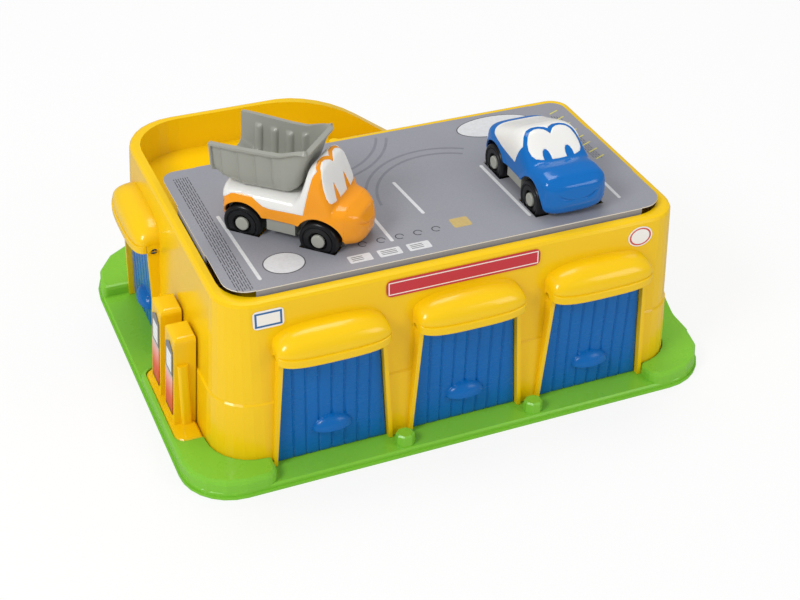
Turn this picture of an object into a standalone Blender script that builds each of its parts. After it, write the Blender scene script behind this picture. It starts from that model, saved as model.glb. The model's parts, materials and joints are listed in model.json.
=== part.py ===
"""Toy garage with a roof car park, four lift-up doors, a tipper truck and a small car.

Sizes are in millimetres and the helpers turn them into Blender's metres. The origin is the
bottom centre of the base. +X runs to the right along the front wall, +Y to the back, +Z up.
"""

import math

import bmesh
import bpy
from mathutils import Matrix, Vector

MM = 0.001
OBJECT_NAME = "toy_garage"

# Clearances
SEAT_GAP = 0.3
LOCATING_GAP = 0.4
DOOR_SIDE_GAP = 0.55
PIN_CLEARANCE = 0.4

# Base tray
BASE_SIDE_MARGIN = 24.9
BASE_FRONT_MARGIN = 20.0
BASE_RADII = (39.0, 43.0, 60.0, 60.0)
BASE_WALL = 2.5
RIM_THICK = 1.8
RIM_REACH = 1.5
ROAD_Z = 5.5
PAD_Z = 14.5
PAD_ROUND = 3.0
PAD_END_RADIUS = 9.0
LEFT_ROAD_FAR_RADIUS = 4.0
LEFT_ROAD_NEAR_Y = -14.0
RIGHT_PAD_SET_IN = 19.0
BACK_PAD_END_X = 95.0
PAD_LAP = 22.0
BOLLARD_WIDTH = 14.5
BOLLARD_DEPTH = 13.0
BOLLARD_SET_IN = 3.5
BOLLARD_CHAMFER = 4.1
BOLLARD_SOFT = 1.8
GUARD_TOP = 29.0
GUARD_THICK = 3.5
GUARD_START_Y = -116.0
GUARD_LEVEL_Y = -68.0
GUARD_LEAD = 5.0
GUARD_ROUND = 14.0
GUARD_EASE = 4.0
RUN_OFF_LAP = 90.0
RUN_OFF_RADIUS = 10.0

# Body shell
BODY_LENGTH = 371.2
BODY_DEPTH = 292.0
BODY_TOP = 140.5
BODY_WALL = 2.5
BODY_TAPER = 0.058
BODY_FRONT_RADIUS = 34.0
BODY_BACK_LEFT_RADIUS = 52.0
BODY_BACK_RIGHT_RADIUS = 24.0
BLOCK_DEPTH = 211.0
BAND_TOP = 59.0
BAND_STEP = 1.2
RIM_ROUND = 3.0
DECK_Z = 112.0
DECK_THICK = 2.5
RIM_WIDTH = 7.4
DIVIDER_WIDTH = 8.4
RECESS_FRONT_RADIUS = 26.0
RECESS_BACK_RADIUS = 40.0
RECESS_DIVIDER_RADIUS = 14.0
REAR_NEAR_RADIUS = 5.0
REAR_FAR_RADIUS = 12.0
ROOM_LAP = 5.0

# Ramp lane behind the deck
LANE_OPEN_X = -25.0
RAMP_START_X = -18.0
RAMP_ANGLE = math.radians(36.5)
RAMP_TOE_Z = 8.0
RAMP_END_SET_IN = 35.6
RAMP_EASE = 24.0
RAMP_SKIN_GAP = 0.6
LANE_LEAD = 6.0
RAIL_ARC_START_X = -60.0
RAIL_ARC_RADIUS = 145.0

# Door bays
DOOR_END_MARGIN = 82.1
DOOR_MIDDLE_X = 2.1
LEFT_DOOR_SET_IN = 92.0
BAY_HALF_WIDTH = 42.6
BAY_SLOPE = 0.071
BAY_TOP = 104.0
FIN_THICK = 3.0
FIN_PROUD = 2.3
FIN_TOP = 103.0
FIN_RADIUS = 6.0
DOORWAY_DEPTH = 24.0
HINGE_Z = 97.0
HINGE_SET_IN = 2.5
PIN_RADIUS = 2.5
BARREL_RADIUS = 3.0
PIN_END_GAP = 0.2
HOOD_HALF_WIDTH = 41.0
HOOD_LIP_Z = 96.0
HOOD_TOP = 118.9
HOOD_REACH = 12.5
HOOD_END_RISE = 1.5
HOOD_RISE_POWER = 6
HOOD_END_TOP = 104.0
HOOD_FOOT = 6.5
HOOD_LAP = 0.6
HOOD_WALL = 2.5
HOOD_EXPONENT = 2.4
HOOD_SECTIONS = 13
DOOR_THICK = 3.0
DOOR_FACE_SET_IN = 2.0
DOOR_BOTTOM = 6.2
DOOR_TOP = 101.0
GROOVE_COUNT = 7
GROOVE_PITCH = 9.6
GROOVE_WIDTH = 1.6
GROOVE_DEPTH = 0.8
GROOVE_END_GAP = 2.0
HANDLE_HALF_WIDTH = 15.0
HANDLE_FOOT = 27.6
HANDLE_HEIGHT = 8.0
HANDLE_REACH = 9.0

# Pump island
ISLAND_NEAR_Y = -108.0
ISLAND_FAR_Y = -17.0
ISLAND_REACH = 19.9
ISLAND_RADIUS = 8.0
ISLAND_ROUND = 1.5
ISLAND_GAP = 0.5
PUMP_YS = (-76.0, -40.0)
PUMP_WIDTH = 24.0
PUMP_TOP = 88.0
PUMP_FOOT_REACH = 16.4
PUMP_TOP_REACH = 11.4
PUMP_SINK = 3.0
PUMP_RADIUS = 4.0
NOZZLE_WIDTH = 8.0
NOZZLE_DEPTH = 3.0
NOZZLE_HEIGHT = 52.0
NOZZLE_RADIUS = 2.5
NOZZLE_SET_IN = 1.5

# Card insert
CARD_TOP = 145.3
CARD_THICK = 1.2
CARD_LEFT_GAP = 1.7
CARD_RIGHT_GAP = 2.7
CARD_NEAR_GAP = 1.8
CARD_FAR_GAP = 5.9
CARD_FRONT_RADIUS = 17.0
CARD_BACK_RADIUS = 11.0
FRONT_FLAP_ENDS = (18.9, 20.5)
BACK_FLAP_ENDS = (27.5, 26.5)
LEFT_FLAP = (-75.0, -6.6)
RIGHT_FLAP = (-78.0, -8.0)
SLOT_LENGTH = 27.8
SLOT_WIDTH = 13.6

# Labels
LABEL_THICK = 0.4
FRONT_LABEL_LENGTH = 118.0
FRONT_LABEL_HEIGHT = 13.0
FRONT_LABEL_Z = 129.5
FRONT_LABEL_RADIUS = 4.0
SIDE_LABEL_DROP = 2.0
CORNER_LABEL_SET_IN = 41.6
CORNER_LABEL_LENGTH = 22.0
CORNER_LABEL_HEIGHT = 14.0
CORNER_LABEL_RADIUS = 3.0
OVAL_LABEL_SET_IN = 44.6
OVAL_HALF_LENGTH = 10.0
OVAL_HALF_HEIGHT = 8.0
OVAL_STEPS = 28
PUMP_LABEL_WIDTH = 17.0
PUMP_LABEL_FOOT = 21.0
PUMP_LABEL_HEIGHT = 60.0
PUMP_LABEL_PEAK = 5.0

# Vehicles: x forward, y to the left, z up from the bottom of the wheels
WHEEL_RADIUS = 14.5
WHEEL_WIDTH = 12.0
TYRE_ROUND = 2.2
TRACK_OUTER = 54.0
WHEELBASE = 58.0
AXLE_RADIUS = 1.75
AXLE_CLEARANCE = 0.35
HUB_RADIUS = 5.0
HUB_THICK = 2.0
HUB_CLEARANCE = 0.3
WHEEL_SINK = 7.7
ARCH_RADIUS = 17.3
ARCH_GAP = 0.2
CHASSIS_BOTTOM = 8.0
CHASSIS_TOP = 22.8
CHASSIS_SIDE_GAP = 0.8
SILL_SET_IN = 3.0
SILL_HALF_LENGTH = 10.8
SILL_BOTTOM = 13.5
CHASSIS_END_GAP = 1.6
PART_LINE = 0.3
TRUCK_PLACE = (-96.0, -58.1)
TRUCK_HEADING = math.radians(-44.4)
CAR_PLACE = (94.5, -69.6)
CAR_HEADING = math.radians(-89.3)
BED_WALL = 1.8
BED_PIVOT = (-38.0, 40.2)
BED_PIVOT_RADIUS = 2.4
BED_PIVOT_HALF = 12.0
BED_PIN_RADIUS = 1.5
BED_PIN_REACH = 2.6
BED_RIB_COUNT = 4
BED_RIB_PITCH = 13.0
BED_RIB_SIZE = 1.2
BED_RIB_START_X = -45.0
BED_RIB_FOOT = 47.0
BED_RIB_TOP = 72.0
BED_WEB_HALF = 1.8
BED_WEB_TOP = 46.6
BED_HALF_FOOT = 20.0
BED_HALF_RIM = 25.0
TROUGH_BEHIND = 2.5
TROUGH_AHEAD = 0.5
TROUGH_TOP = 60.0

# Side outlines of the vehicles as (x, z, radius), and the lines where their colours part
TRUCK_SIDE = [(-49.5, 11.0, 3.0), (50.0, 11.0, 8.0), (58.5, 24.0, 12.0), (52.0, 37.4, 10.0),
              (37.8, 39.0, 2.0), (28.6, 66.5, 3.0), (24.5, 69.8, 3.0), (19.8, 69.8, 2.0),
              (13.6, 46.0, 4.0), (12.0, 41.2, 3.0), (-41.0, 41.2, 6.0), (-50.0, 34.0, 6.0)]
TRUCK_PLAN = [(-50.5, -25.5, 12.0), (59.0, -25.5, 22.0), (59.0, 25.5, 22.0), (-50.5, 25.5, 12.0)]
TRUCK_FRONT = [(25.5, 0.0, 0.0), (25.5, 38.0, 14.0), (21.5, 71.0, 7.0)]
TRUCK_WHITE = [(-60.0, 24.0, 0.0), (-49.5, 26.0, 2.0), (-39.0, 36.2, 6.0), (-22.0, 36.6, 8.0),
               (-13.0, 31.4, 6.0), (17.0, 31.9, 1.0), (26.5, 71.0, 0.0), (26.5, 95.0, 0.0),
               (-60.0, 95.0, 0.0)]
TRUCK_CORE = ((13.0, -20.0, 35.0), (28.0, 20.0, 62.0))
TRUCK_SCREEN = [(20.0, 41.0, 3.0), (18.0, 65.0, 7.5), (2.5, 65.0, 4.5), (0.0, 61.5, 0.8)]
TRUCK_SCREEN_DEPTH = (24.0, 50.0)
CAR_SIDE = [(-47.0, 11.0, 4.0), (47.0, 11.0, 8.0), (53.5, 24.0, 10.0), (48.0, 39.0, 9.0),
            (24.0, 40.2, 4.0), (4.0, 53.4, 5.0), (-5.0, 55.0, 12.0), (-36.0, 41.5, 12.0),
            (-53.0, 33.0, 8.0), (-54.0, 17.0, 6.0)]
CAR_PLAN = [(-54.5, -25.5, 18.0), (54.0, -25.5, 16.0), (54.0, 25.5, 16.0), (-54.5, 25.5, 18.0)]
CAR_FRONT = [(25.5, 0.0, 0.0), (25.5, 36.0, 12.0), (19.0, 56.0, 8.0)]
CAR_WHITE = [(2.5, 31.5, 1.5), (3.0, 52.0, 0.0), (3.0, 80.0, 0.0), (-42.0, 80.0, 0.0),
             (-40.0, 42.0, 3.0), (-32.0, 36.5, 3.0), (-17.0, 33.5, 0.0)]
CAR_CORE = ((-20.0, -16.0, 34.0), (9.0, 16.0, 44.0))
CAR_SCREEN = [(19.0, 41.6, 3.0), (16.0, 52.4, 5.0), (2.5, 52.6, 3.0), (0.0, 50.6, 0.8)]
CAR_SCREEN_DEPTH = (2.0, 40.0)
BED_SIDE = [(-52.0, 50.5, 2.0), (-41.5, 44.6, 3.0), (-29.0, 41.6, 6.0), (3.5, 41.6, 4.0),
            (9.6, 47.0, 4.0), (13.2, 60.0, 0.0), (19.2, 81.0, 0.0), (12.0, 79.5, 5.0),
            (0.0, 75.0, 10.0), (-20.0, 74.0, 0.0), (-52.0, 74.0, 1.0)]
BED_ROOM = [(-80.0, 66.0, 0.0), (-52.8, 52.3, 0.0), (-41.0, 46.4, 3.0), (-28.0, 43.4, 4.0),
            (2.5, 43.4, 3.0), (8.0, 48.0, 3.0), (11.4, 60.0, 0.0), (21.0, 94.0, 0.0),
            (-80.0, 94.0, 0.0)]

# Detail of round stretches
ARC_STEPS = 7
SMALL_STEPS = 4
ROUND_SEGMENTS = 20
WHEEL_STEPS = 18

# How far cutters run past what they cut, and how deep joined pieces lap
PAST = 10.0
FAR_PAST = 60.0
LAP = 1.0

# Derived sizes
BASE_LENGTH = BODY_LENGTH + 2 * BASE_SIDE_MARGIN
BASE_DEPTH = BODY_DEPTH + 2 * BASE_FRONT_MARGIN
BODY_FOOT = ROAD_Z + SEAT_GAP
FLOOR_Z = ROAD_Z - BASE_WALL
WALL_GUARD = LOCATING_GAP + BASE_WALL
DOOR_PITCH = BODY_LENGTH / 2 - DOOR_END_MARGIN
BOLLARD_NEAR_Y = BOLLARD_SET_IN - BASE_DEPTH / 2
BOLLARD_FAR_Y = BOLLARD_NEAR_Y + BOLLARD_DEPTH
BLOCK_BACK_Y = BLOCK_DEPTH - BODY_DEPTH / 2
RIGHT_PAD_END_Y = BLOCK_BACK_Y - RIGHT_PAD_SET_IN
LEFT_DOOR_Y = BODY_DEPTH / 2 - LEFT_DOOR_SET_IN
RAMP_END_X = BODY_LENGTH / 2 - RAMP_END_SET_IN
ISLAND_OUTER_X = -BODY_LENGTH / 2 - ISLAND_REACH
ISLAND_WALL_X = -BODY_LENGTH / 2 - ISLAND_GAP
PUMP_FACE_FOOT_X = -BODY_LENGTH / 2 - PUMP_FOOT_REACH
PUMP_FACE_TOP_X = -BODY_LENGTH / 2 - PUMP_TOP_REACH
PUMP_FOOT = PAD_Z - PUMP_SINK
CAVITY_TOP = DECK_Z - DECK_THICK
VEHICLE_Z = CARD_TOP - WHEEL_SINK
CHASSIS_HALF_WIDTH = TRACK_OUTER / 2 - WHEEL_WIDTH - CHASSIS_SIDE_GAP
SILL_HALF_WIDTH = TRACK_OUTER / 2 - SILL_SET_IN
DOOR_XS = (DOOR_MIDDLE_X - DOOR_PITCH, DOOR_MIDDLE_X, DOOR_MIDDLE_X + DOOR_PITCH)
WALL_DRAFT = math.atan(BODY_TAPER)
BAY_REACH = BAY_HALF_WIDTH + FIN_THICK + LOCATING_GAP
FRONT_ROAD_LEFT_X = DOOR_XS[0] - BAY_REACH
FRONT_ROAD_RIGHT_X = DOOR_XS[-1] + BAY_REACH
LEFT_ROAD_FAR_Y = LEFT_DOOR_Y + BAY_REACH


def wall_inset(z, wall=0.0):
    """Return how far the outer wall has drawn in at height z, plus a wall thickness."""
    step = BAND_STEP if z > BAND_TOP else 0.0
    return wall + step + BODY_TAPER * (z - BODY_FOOT)


TOP_INSET = wall_inset(BODY_TOP)
RECESS_X = BODY_LENGTH / 2 - TOP_INSET - RIM_WIDTH
RECESS_NEAR_Y = -BODY_DEPTH / 2 + TOP_INSET + RIM_WIDTH
DIVIDER_FAR_Y = BLOCK_BACK_Y - TOP_INSET
DIVIDER_NEAR_Y = DIVIDER_FAR_Y - DIVIDER_WIDTH
LANE_FAR_Y = BODY_DEPTH / 2 - TOP_INSET - RIM_WIDTH
CARD_LEFT_X = CARD_LEFT_GAP - RECESS_X
CARD_RIGHT_X = RECESS_X - CARD_RIGHT_GAP
CARD_NEAR_Y = RECESS_NEAR_Y + CARD_NEAR_GAP
CARD_FAR_Y = DIVIDER_NEAR_Y - CARD_FAR_GAP
FRONT_FLAP = (CARD_LEFT_X + FRONT_FLAP_ENDS[0], CARD_RIGHT_X - FRONT_FLAP_ENDS[1])
BACK_FLAP = (CARD_LEFT_X + BACK_FLAP_ENDS[0], CARD_RIGHT_X - BACK_FLAP_ENDS[1])
CORNER_LABEL_X = CORNER_LABEL_SET_IN - BODY_LENGTH / 2
OVAL_LABEL_X = BODY_LENGTH / 2 - OVAL_LABEL_SET_IN


def collection(name):
    """Return a new collection linked to the scene."""
    made = bpy.data.collections.new(name)
    bpy.context.scene.collection.children.link(made)
    return made


def material(name, colour, roughness, metallic=0.0):
    """Return a Principled material."""
    made = bpy.data.materials.new(name)
    made.use_nodes = True
    shader = made.node_tree.nodes["Principled BSDF"]
    shader.inputs["Base Color"].default_value = (*colour, 1.0)
    shader.inputs["Roughness"].default_value = roughness
    shader.inputs["Metallic"].default_value = metallic
    return made


def inset(corners, distance):
    """Move the sides of a counter-clockwise outline of (x, y, radius) corners inwards."""
    moved = []
    for i, (x, y, radius) in enumerate(corners):
        here = Vector((x, y))
        before = (here - Vector(corners[i - 1][:2])).normalized()
        after = (Vector(corners[(i + 1) % len(corners)][:2]) - here).normalized()
        normals = Vector((-before.y, before.x)), Vector((-after.y, after.x))
        shift = (normals[0] + normals[1]) * (distance / (1.0 + normals[0].dot(normals[1])))
        turn = before.x * after.y - before.y * after.x
        new_radius = radius - distance if turn > 0 else radius + distance
        moved.append((x + shift.x, y + shift.y, max(new_radius, 0.05) if radius else 0.0))
    return moved


def rounded(corners, steps=ARC_STEPS):
    """Return the points of an outline whose corners (x, y, radius) are arcs."""
    points = []
    for i, (x, y, radius) in enumerate(corners):
        here = Vector((x, y))
        if not radius:
            points.append(here)
            continue
        before = (here - Vector(corners[i - 1][:2])).normalized()
        after = (Vector(corners[(i + 1) % len(corners)][:2]) - here).normalized()
        turn = math.atan2(before.x * after.y - before.y * after.x, before.dot(after))
        start = here - before * (radius * math.tan(abs(turn) / 2))
        side = Vector((-before.y, before.x)) * math.copysign(radius, turn)
        centre = start + side
        for k in range(steps + 1):
            swing = Matrix.Rotation(turn * k / steps, 2)
            points.append(centre + swing @ (-side))
    return points


def add_mesh_object(name, mesh, group, paint=None):
    """Link a mesh as an object; an object without paint is a cutter."""
    made = bpy.data.objects.new(name, mesh)
    group.objects.link(made)
    if paint:
        mesh.materials.append(paint)
    else:
        made.hide_render = True
        made.display_type = "WIRE"
    return made


def mesh_from(name, source):
    """Return a mesh made from a bmesh in millimetres, with its faces pointing out."""
    bmesh.ops.scale(source, vec=(MM, MM, MM), verts=source.verts)
    bmesh.ops.recalc_face_normals(source, faces=source.faces)
    mesh = bpy.data.meshes.new(name)
    source.to_mesh(mesh)
    source.free()
    return mesh


# Turns that carry an outline drawn in the XY plane into the plane square to an axis
PLANE_TURNS = {
    "Z": Matrix.Identity(4),
    "Y": Matrix.Rotation(math.pi / 2, 4, "X"),
    "X": Matrix.Rotation(math.pi / 2, 4, "Z") @ Matrix.Rotation(math.pi / 2, 4, "X"),
}


def prism(name, points, low, high, group, paint=None, axis="Z"):
    """Extrude a flat outline from low to high along an axis.

    The outline's points are (x, y) for axis Z, (x, z) for axis Y and (y, z) for axis X.
    """
    curve = bpy.data.curves.new(name + "_outline", "CURVE")
    curve.dimensions = "2D"
    curve.fill_mode = "BOTH"
    curve.extrude = (high - low) / 2 * MM
    spline = curve.splines.new("POLY")
    spline.points.add(len(points) - 1)
    for point, place in zip(spline.points, points):
        point.co = (place[0] * MM, place[1] * MM, 0.0, 1.0)
    spline.use_cyclic_u = True
    outline = bpy.data.objects.new(name + "_outline", curve)
    group.objects.link(outline)
    middle = (high + low) / 2 * MM
    lift = Vector((0.0, 0.0, middle if axis != "Y" else -middle))
    evaluated = outline.evaluated_get(bpy.context.evaluated_depsgraph_get())
    mesh = bpy.data.meshes.new_from_object(evaluated)
    mesh.name = name
    mesh.transform(PLANE_TURNS[axis] @ Matrix.Translation(lift))
    bpy.data.objects.remove(outline)
    work = bmesh.new()
    work.from_mesh(mesh)
    bmesh.ops.remove_doubles(work, verts=work.verts, dist=1e-6)
    bmesh.ops.recalc_face_normals(work, faces=work.faces)
    work.to_mesh(mesh)
    work.free()
    return add_mesh_object(name, mesh, group, paint)


def loft(name, rings, group, paint=None):
    """Join rings of 3-D points, which have one count, into a closed solid."""
    work = bmesh.new()
    rows = [[work.verts.new(point) for point in ring] for ring in rings]
    count = len(rows[0])
    for lower, upper in zip(rows, rows[1:]):
        for i in range(count):
            j = (i + 1) % count
            work.faces.new((lower[i], lower[j], upper[j], upper[i]))
    work.faces.new(reversed(rows[0]))
    work.faces.new(rows[-1])
    return add_mesh_object(name, mesh_from(name, work), group, paint)


def stacked(name, corners, levels, group, paint=None, steps=ARC_STEPS):
    """Loft an outline through (inset, z) levels."""
    rings = [[(p.x, p.y, z) for p in rounded(inset(corners, d), steps)] for d, z in levels]
    return loft(name, rings, group, paint)


def box(name, lows, highs, group, paint=None):
    """Make a box between two opposite corners."""
    work = bmesh.new()
    size = [b - a for a, b in zip(lows, highs)]
    middle = [(a + b) / 2 for a, b in zip(lows, highs)]
    place = Matrix.Translation(middle) @ Matrix.Diagonal((*size, 1.0))
    bmesh.ops.create_cube(work, size=1.0, matrix=place)
    return add_mesh_object(name, mesh_from(name, work), group, paint)


def cylinder(name, radius, low, high, centre, axis, group, paint=None, segments=ROUND_SEGMENTS):
    """Make a cylinder along an axis, centred on the two other coordinates."""
    turn = {"X": Matrix.Rotation(math.pi / 2, 4, "Y"), "Y": Matrix.Rotation(math.pi / 2, 4, "X"),
            "Z": Matrix.Identity(4)}[axis]
    middle = (low + high) / 2
    place = {"X": (middle, *centre), "Y": (centre[0], middle, centre[1]),
             "Z": (*centre, middle)}[axis]
    work = bmesh.new()
    bmesh.ops.create_cone(work, cap_ends=True, segments=segments, radius1=radius,
                          radius2=radius, depth=high - low, matrix=Matrix.Translation(place) @ turn)
    made = add_mesh_object(name, mesh_from(name, work), group, paint)
    smooth(made)
    return made


def turned(name, profile, group, paint=None, steps=ROUND_SEGMENTS):
    """Turn a (radius, y) profile about the Y axis with a Screw modifier.

    The profile closes on itself, unless both its ends are on the axis.
    """
    mesh = bpy.data.meshes.new(name)
    points = [(radius * MM, y * MM, 0.0) for radius, y in profile]
    edges = [(i, i + 1) for i in range(len(points) - 1)]
    if profile[0][0] or profile[-1][0]:
        edges.append((len(points) - 1, 0))
    mesh.from_pydata(points, edges, [])
    made = add_mesh_object(name, mesh, group, paint)
    screw = made.modifiers.new("turn", "SCREW")
    screw.axis = "Y"
    screw.steps = screw.render_steps = steps
    screw.use_merge_vertices = True
    screw.merge_threshold = 0.00001
    screw.use_smooth_shade = True
    return made


def combine(target, other, operation):
    """Add a Boolean modifier with another object to the target."""
    modifier = target.modifiers.new(operation.lower() + "_" + other.name, "BOOLEAN")
    modifier.operation = operation
    modifier.solver = "EXACT"
    modifier.object = other


def cut(target, *cutters):
    """Cut each cutter out of the target."""
    for cutter in cutters:
        combine(target, cutter, "DIFFERENCE")


def join(target, *additions):
    """Fuse each addition to the target."""
    for addition in additions:
        combine(target, addition, "UNION")


def keep_common(target, *others):
    """Keep what the target shares with each other solid."""
    for other in others:
        combine(target, other, "INTERSECT")


def smooth(made):
    """Shade smooth, with edges sharper than 40 degrees kept."""
    made.data.shade_smooth()
    made.data.set_sharp_from_angle(angle=math.radians(40))


def carry(parent, *children):
    """Parent objects to an empty or a piece that is still at the world's origin."""
    for child in children:
        child.parent = parent


def empty(name, group, place=(0.0, 0.0, 0.0), turn=0.0):
    """Make an empty at a place in millimetres, turned about Z."""
    made = bpy.data.objects.new(name, None)
    made.empty_display_size = 0.02
    made.location = Vector(place) * MM
    made.rotation_euler = (0.0, 0.0, turn)
    group.objects.link(made)
    return made


def front_block_corners():
    """Return the foot outline of the block under the card."""
    x, y = BODY_LENGTH / 2, BODY_DEPTH / 2
    return [(-x, -y, BODY_FRONT_RADIUS), (x, -y, BODY_FRONT_RADIUS),
            (x, BLOCK_BACK_Y, BODY_BACK_RIGHT_RADIUS), (-x, BLOCK_BACK_Y, BODY_BACK_RIGHT_RADIUS)]


def rear_block_corners(near_y=0.0):
    """Return the foot outline of the block behind, which carries the landing and the ramp."""
    x, y = BODY_LENGTH / 2, BODY_DEPTH / 2
    return [(-x, near_y, REAR_NEAR_RADIUS), (RAMP_END_X, near_y, REAR_NEAR_RADIUS),
            (RAMP_END_X, y, REAR_FAR_RADIUS), (-x, y, BODY_BACK_LEFT_RADIUS)]


def body_levels():
    """Return the (inset, z) levels of the outer wall, with the band and the rounded rim."""
    rim = RIM_ROUND
    return [(0.0, BODY_FOOT), (wall_inset(BAND_TOP), BAND_TOP),
            (wall_inset(BAND_TOP) + BAND_STEP, BAND_TOP + BAND_STEP),
            (wall_inset(BODY_TOP - rim), BODY_TOP - rim),
            (wall_inset(BODY_TOP) + rim * 0.3, BODY_TOP - rim * 0.3),
            (wall_inset(BODY_TOP) + rim, BODY_TOP)]


def ramp_profile(drop=0.0):
    """Return the (x, z) outline of the room over the ramp floor, lowered by drop."""
    run = (DECK_Z - RAMP_TOE_Z) / math.tan(RAMP_ANGLE)
    low_x, high_x, ceiling = LANE_OPEN_X - LANE_LEAD, RAMP_END_X + FAR_PAST, BODY_TOP + FAR_PAST
    corners = [(low_x, DECK_Z - drop, 0.0), (RAMP_START_X, DECK_Z - drop, RAMP_EASE),
               (RAMP_START_X + run, RAMP_TOE_Z - drop, RAMP_EASE),
               (high_x, RAMP_TOE_Z - drop, 0.0), (high_x, ceiling, 0.0), (low_x, ceiling, 0.0)]
    return rounded(corners, SMALL_STEPS)


def sky_profile():
    """Return the (x, z) outline of what is open above the ramp's side rail."""
    arc = []
    for k in range(ARC_STEPS + 1):
        swing = RAMP_ANGLE * k / ARC_STEPS
        arc.append((RAIL_ARC_START_X + RAIL_ARC_RADIUS * math.sin(swing),
                    BODY_TOP - RAIL_ARC_RADIUS * (1.0 - math.cos(swing))))
    end_x, ceiling = RAMP_END_X + FAR_PAST, BODY_TOP + FAR_PAST
    last_x, last_z = arc[-1]
    arc.append((end_x, last_z - (end_x - last_x) * math.tan(RAMP_ANGLE)))
    return arc + [(end_x, ceiling), (RAIL_ARC_START_X, ceiling)]


def bay_half_width(z):
    """Return the half width of a door bay at height z."""
    return BAY_HALF_WIDTH - BAY_SLOPE * (z - ROAD_Z)


def hood_section(u, shrink=0.0, drop=0.0):
    """Return one (y, z) section of a door hood at u along the wall.

    The wall's foot is at y = 0 and the outside is at -y. Its top and its lip follow
    superellipses of u, so the hood is a bulging half pill in front view.
    """
    share = min(abs(u) / HOOD_HALF_WIDTH, 1.0)
    swell = (1.0 - share ** HOOD_EXPONENT) ** (1.0 / HOOD_EXPONENT)
    top = HOOD_END_TOP + (HOOD_TOP - HOOD_END_TOP) * swell - shrink
    lip = -FIN_PROUD - (HOOD_REACH - FIN_PROUD) * swell + shrink
    edge = HOOD_LIP_Z + HOOD_END_RISE * share ** HOOD_RISE_POWER
    low = edge - drop
    back = wall_inset(HOOD_TOP) + HOOD_LAP
    section = [(back, low), (lip, low)]
    foot = edge + HOOD_FOOT
    for k in range(ARC_STEPS + 1):
        swing = math.pi / 2 * k / ARC_STEPS
        section.append((back - (back - lip) * math.cos(swing) ** (2.0 / HOOD_EXPONENT),
                        foot + (top - foot) * math.sin(swing) ** (2.0 / HOOD_EXPONENT)))
    return section


def hood(name, group, shrink=0.0, drop=0.0, half=HOOD_HALF_WIDTH):
    """Loft a hood, or the room inside it, through sections closer together at its ends."""
    rings = []
    for k in range(HOOD_SECTIONS):
        u = -half * math.cos(math.pi * k / (HOOD_SECTIONS - 1))
        rings.append([(u, y, z) for y, z in hood_section(u, shrink, drop)])
    return loft(name, rings, group)


def fin(name, side, group):
    """Make the upright beside a door, leaning inwards with the door's edge."""
    back = BODY_WALL - 1.0
    corners = [(-FIN_PROUD, BODY_FOOT, 0.0), (back, BODY_FOOT, 0.0),
               (back + wall_inset(FIN_TOP), FIN_TOP, 0.0), (-FIN_PROUD, FIN_TOP, FIN_RADIUS)]
    inner = BAY_HALF_WIDTH - 0.5
    made = prism(name, rounded(corners, SMALL_STEPS), inner, inner + FIN_THICK + 0.5, group, axis="X")
    lean = Matrix.Identity(4)
    lean[0][2] = -BAY_SLOPE
    lean[0][3] = BAY_SLOPE * ROAD_Z * MM
    made.data.transform(lean)
    if side < 0:
        made.data.transform(Matrix.Diagonal((-1.0, 1.0, 1.0, 1.0)))
        made.data.flip_normals()
    return made


def door_bay(name, body, bay, cutters):
    """Add one bay's uprights, opening, hood and pin holes to the body."""
    fins = [fin(f"{name}_fin_{side}", side, cutters) for side in (-1, 1)]
    half_foot, half_top = bay_half_width(0.0), bay_half_width(BAY_TOP)
    doorway = [(-half_foot, 0.0), (half_foot, 0.0), (half_top, BAY_TOP), (-half_top, BAY_TOP)]
    opening = prism(name + "_opening", doorway, -PAST, DOORWAY_DEPTH - PAST, cutters, axis="Y")
    cover = hood(name + "_hood", cutters)
    room = hood(name + "_hood_room", cutters, HOOD_WALL, HOOD_WALL,
                bay_half_width(HOOD_LIP_Z))
    reach = HOOD_HALF_WIDTH + FIN_THICK
    holes = cylinder(name + "_pin_holes", PIN_RADIUS + PIN_CLEARANCE, -reach, reach,
                     (HINGE_SET_IN, HINGE_Z), "X", cutters, segments=16)
    carry(bay, *fins, opening, cover, room, holes)
    join(body, *fins)
    cut(body, opening)
    join(body, cover)
    cut(body, room, holes)


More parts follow.
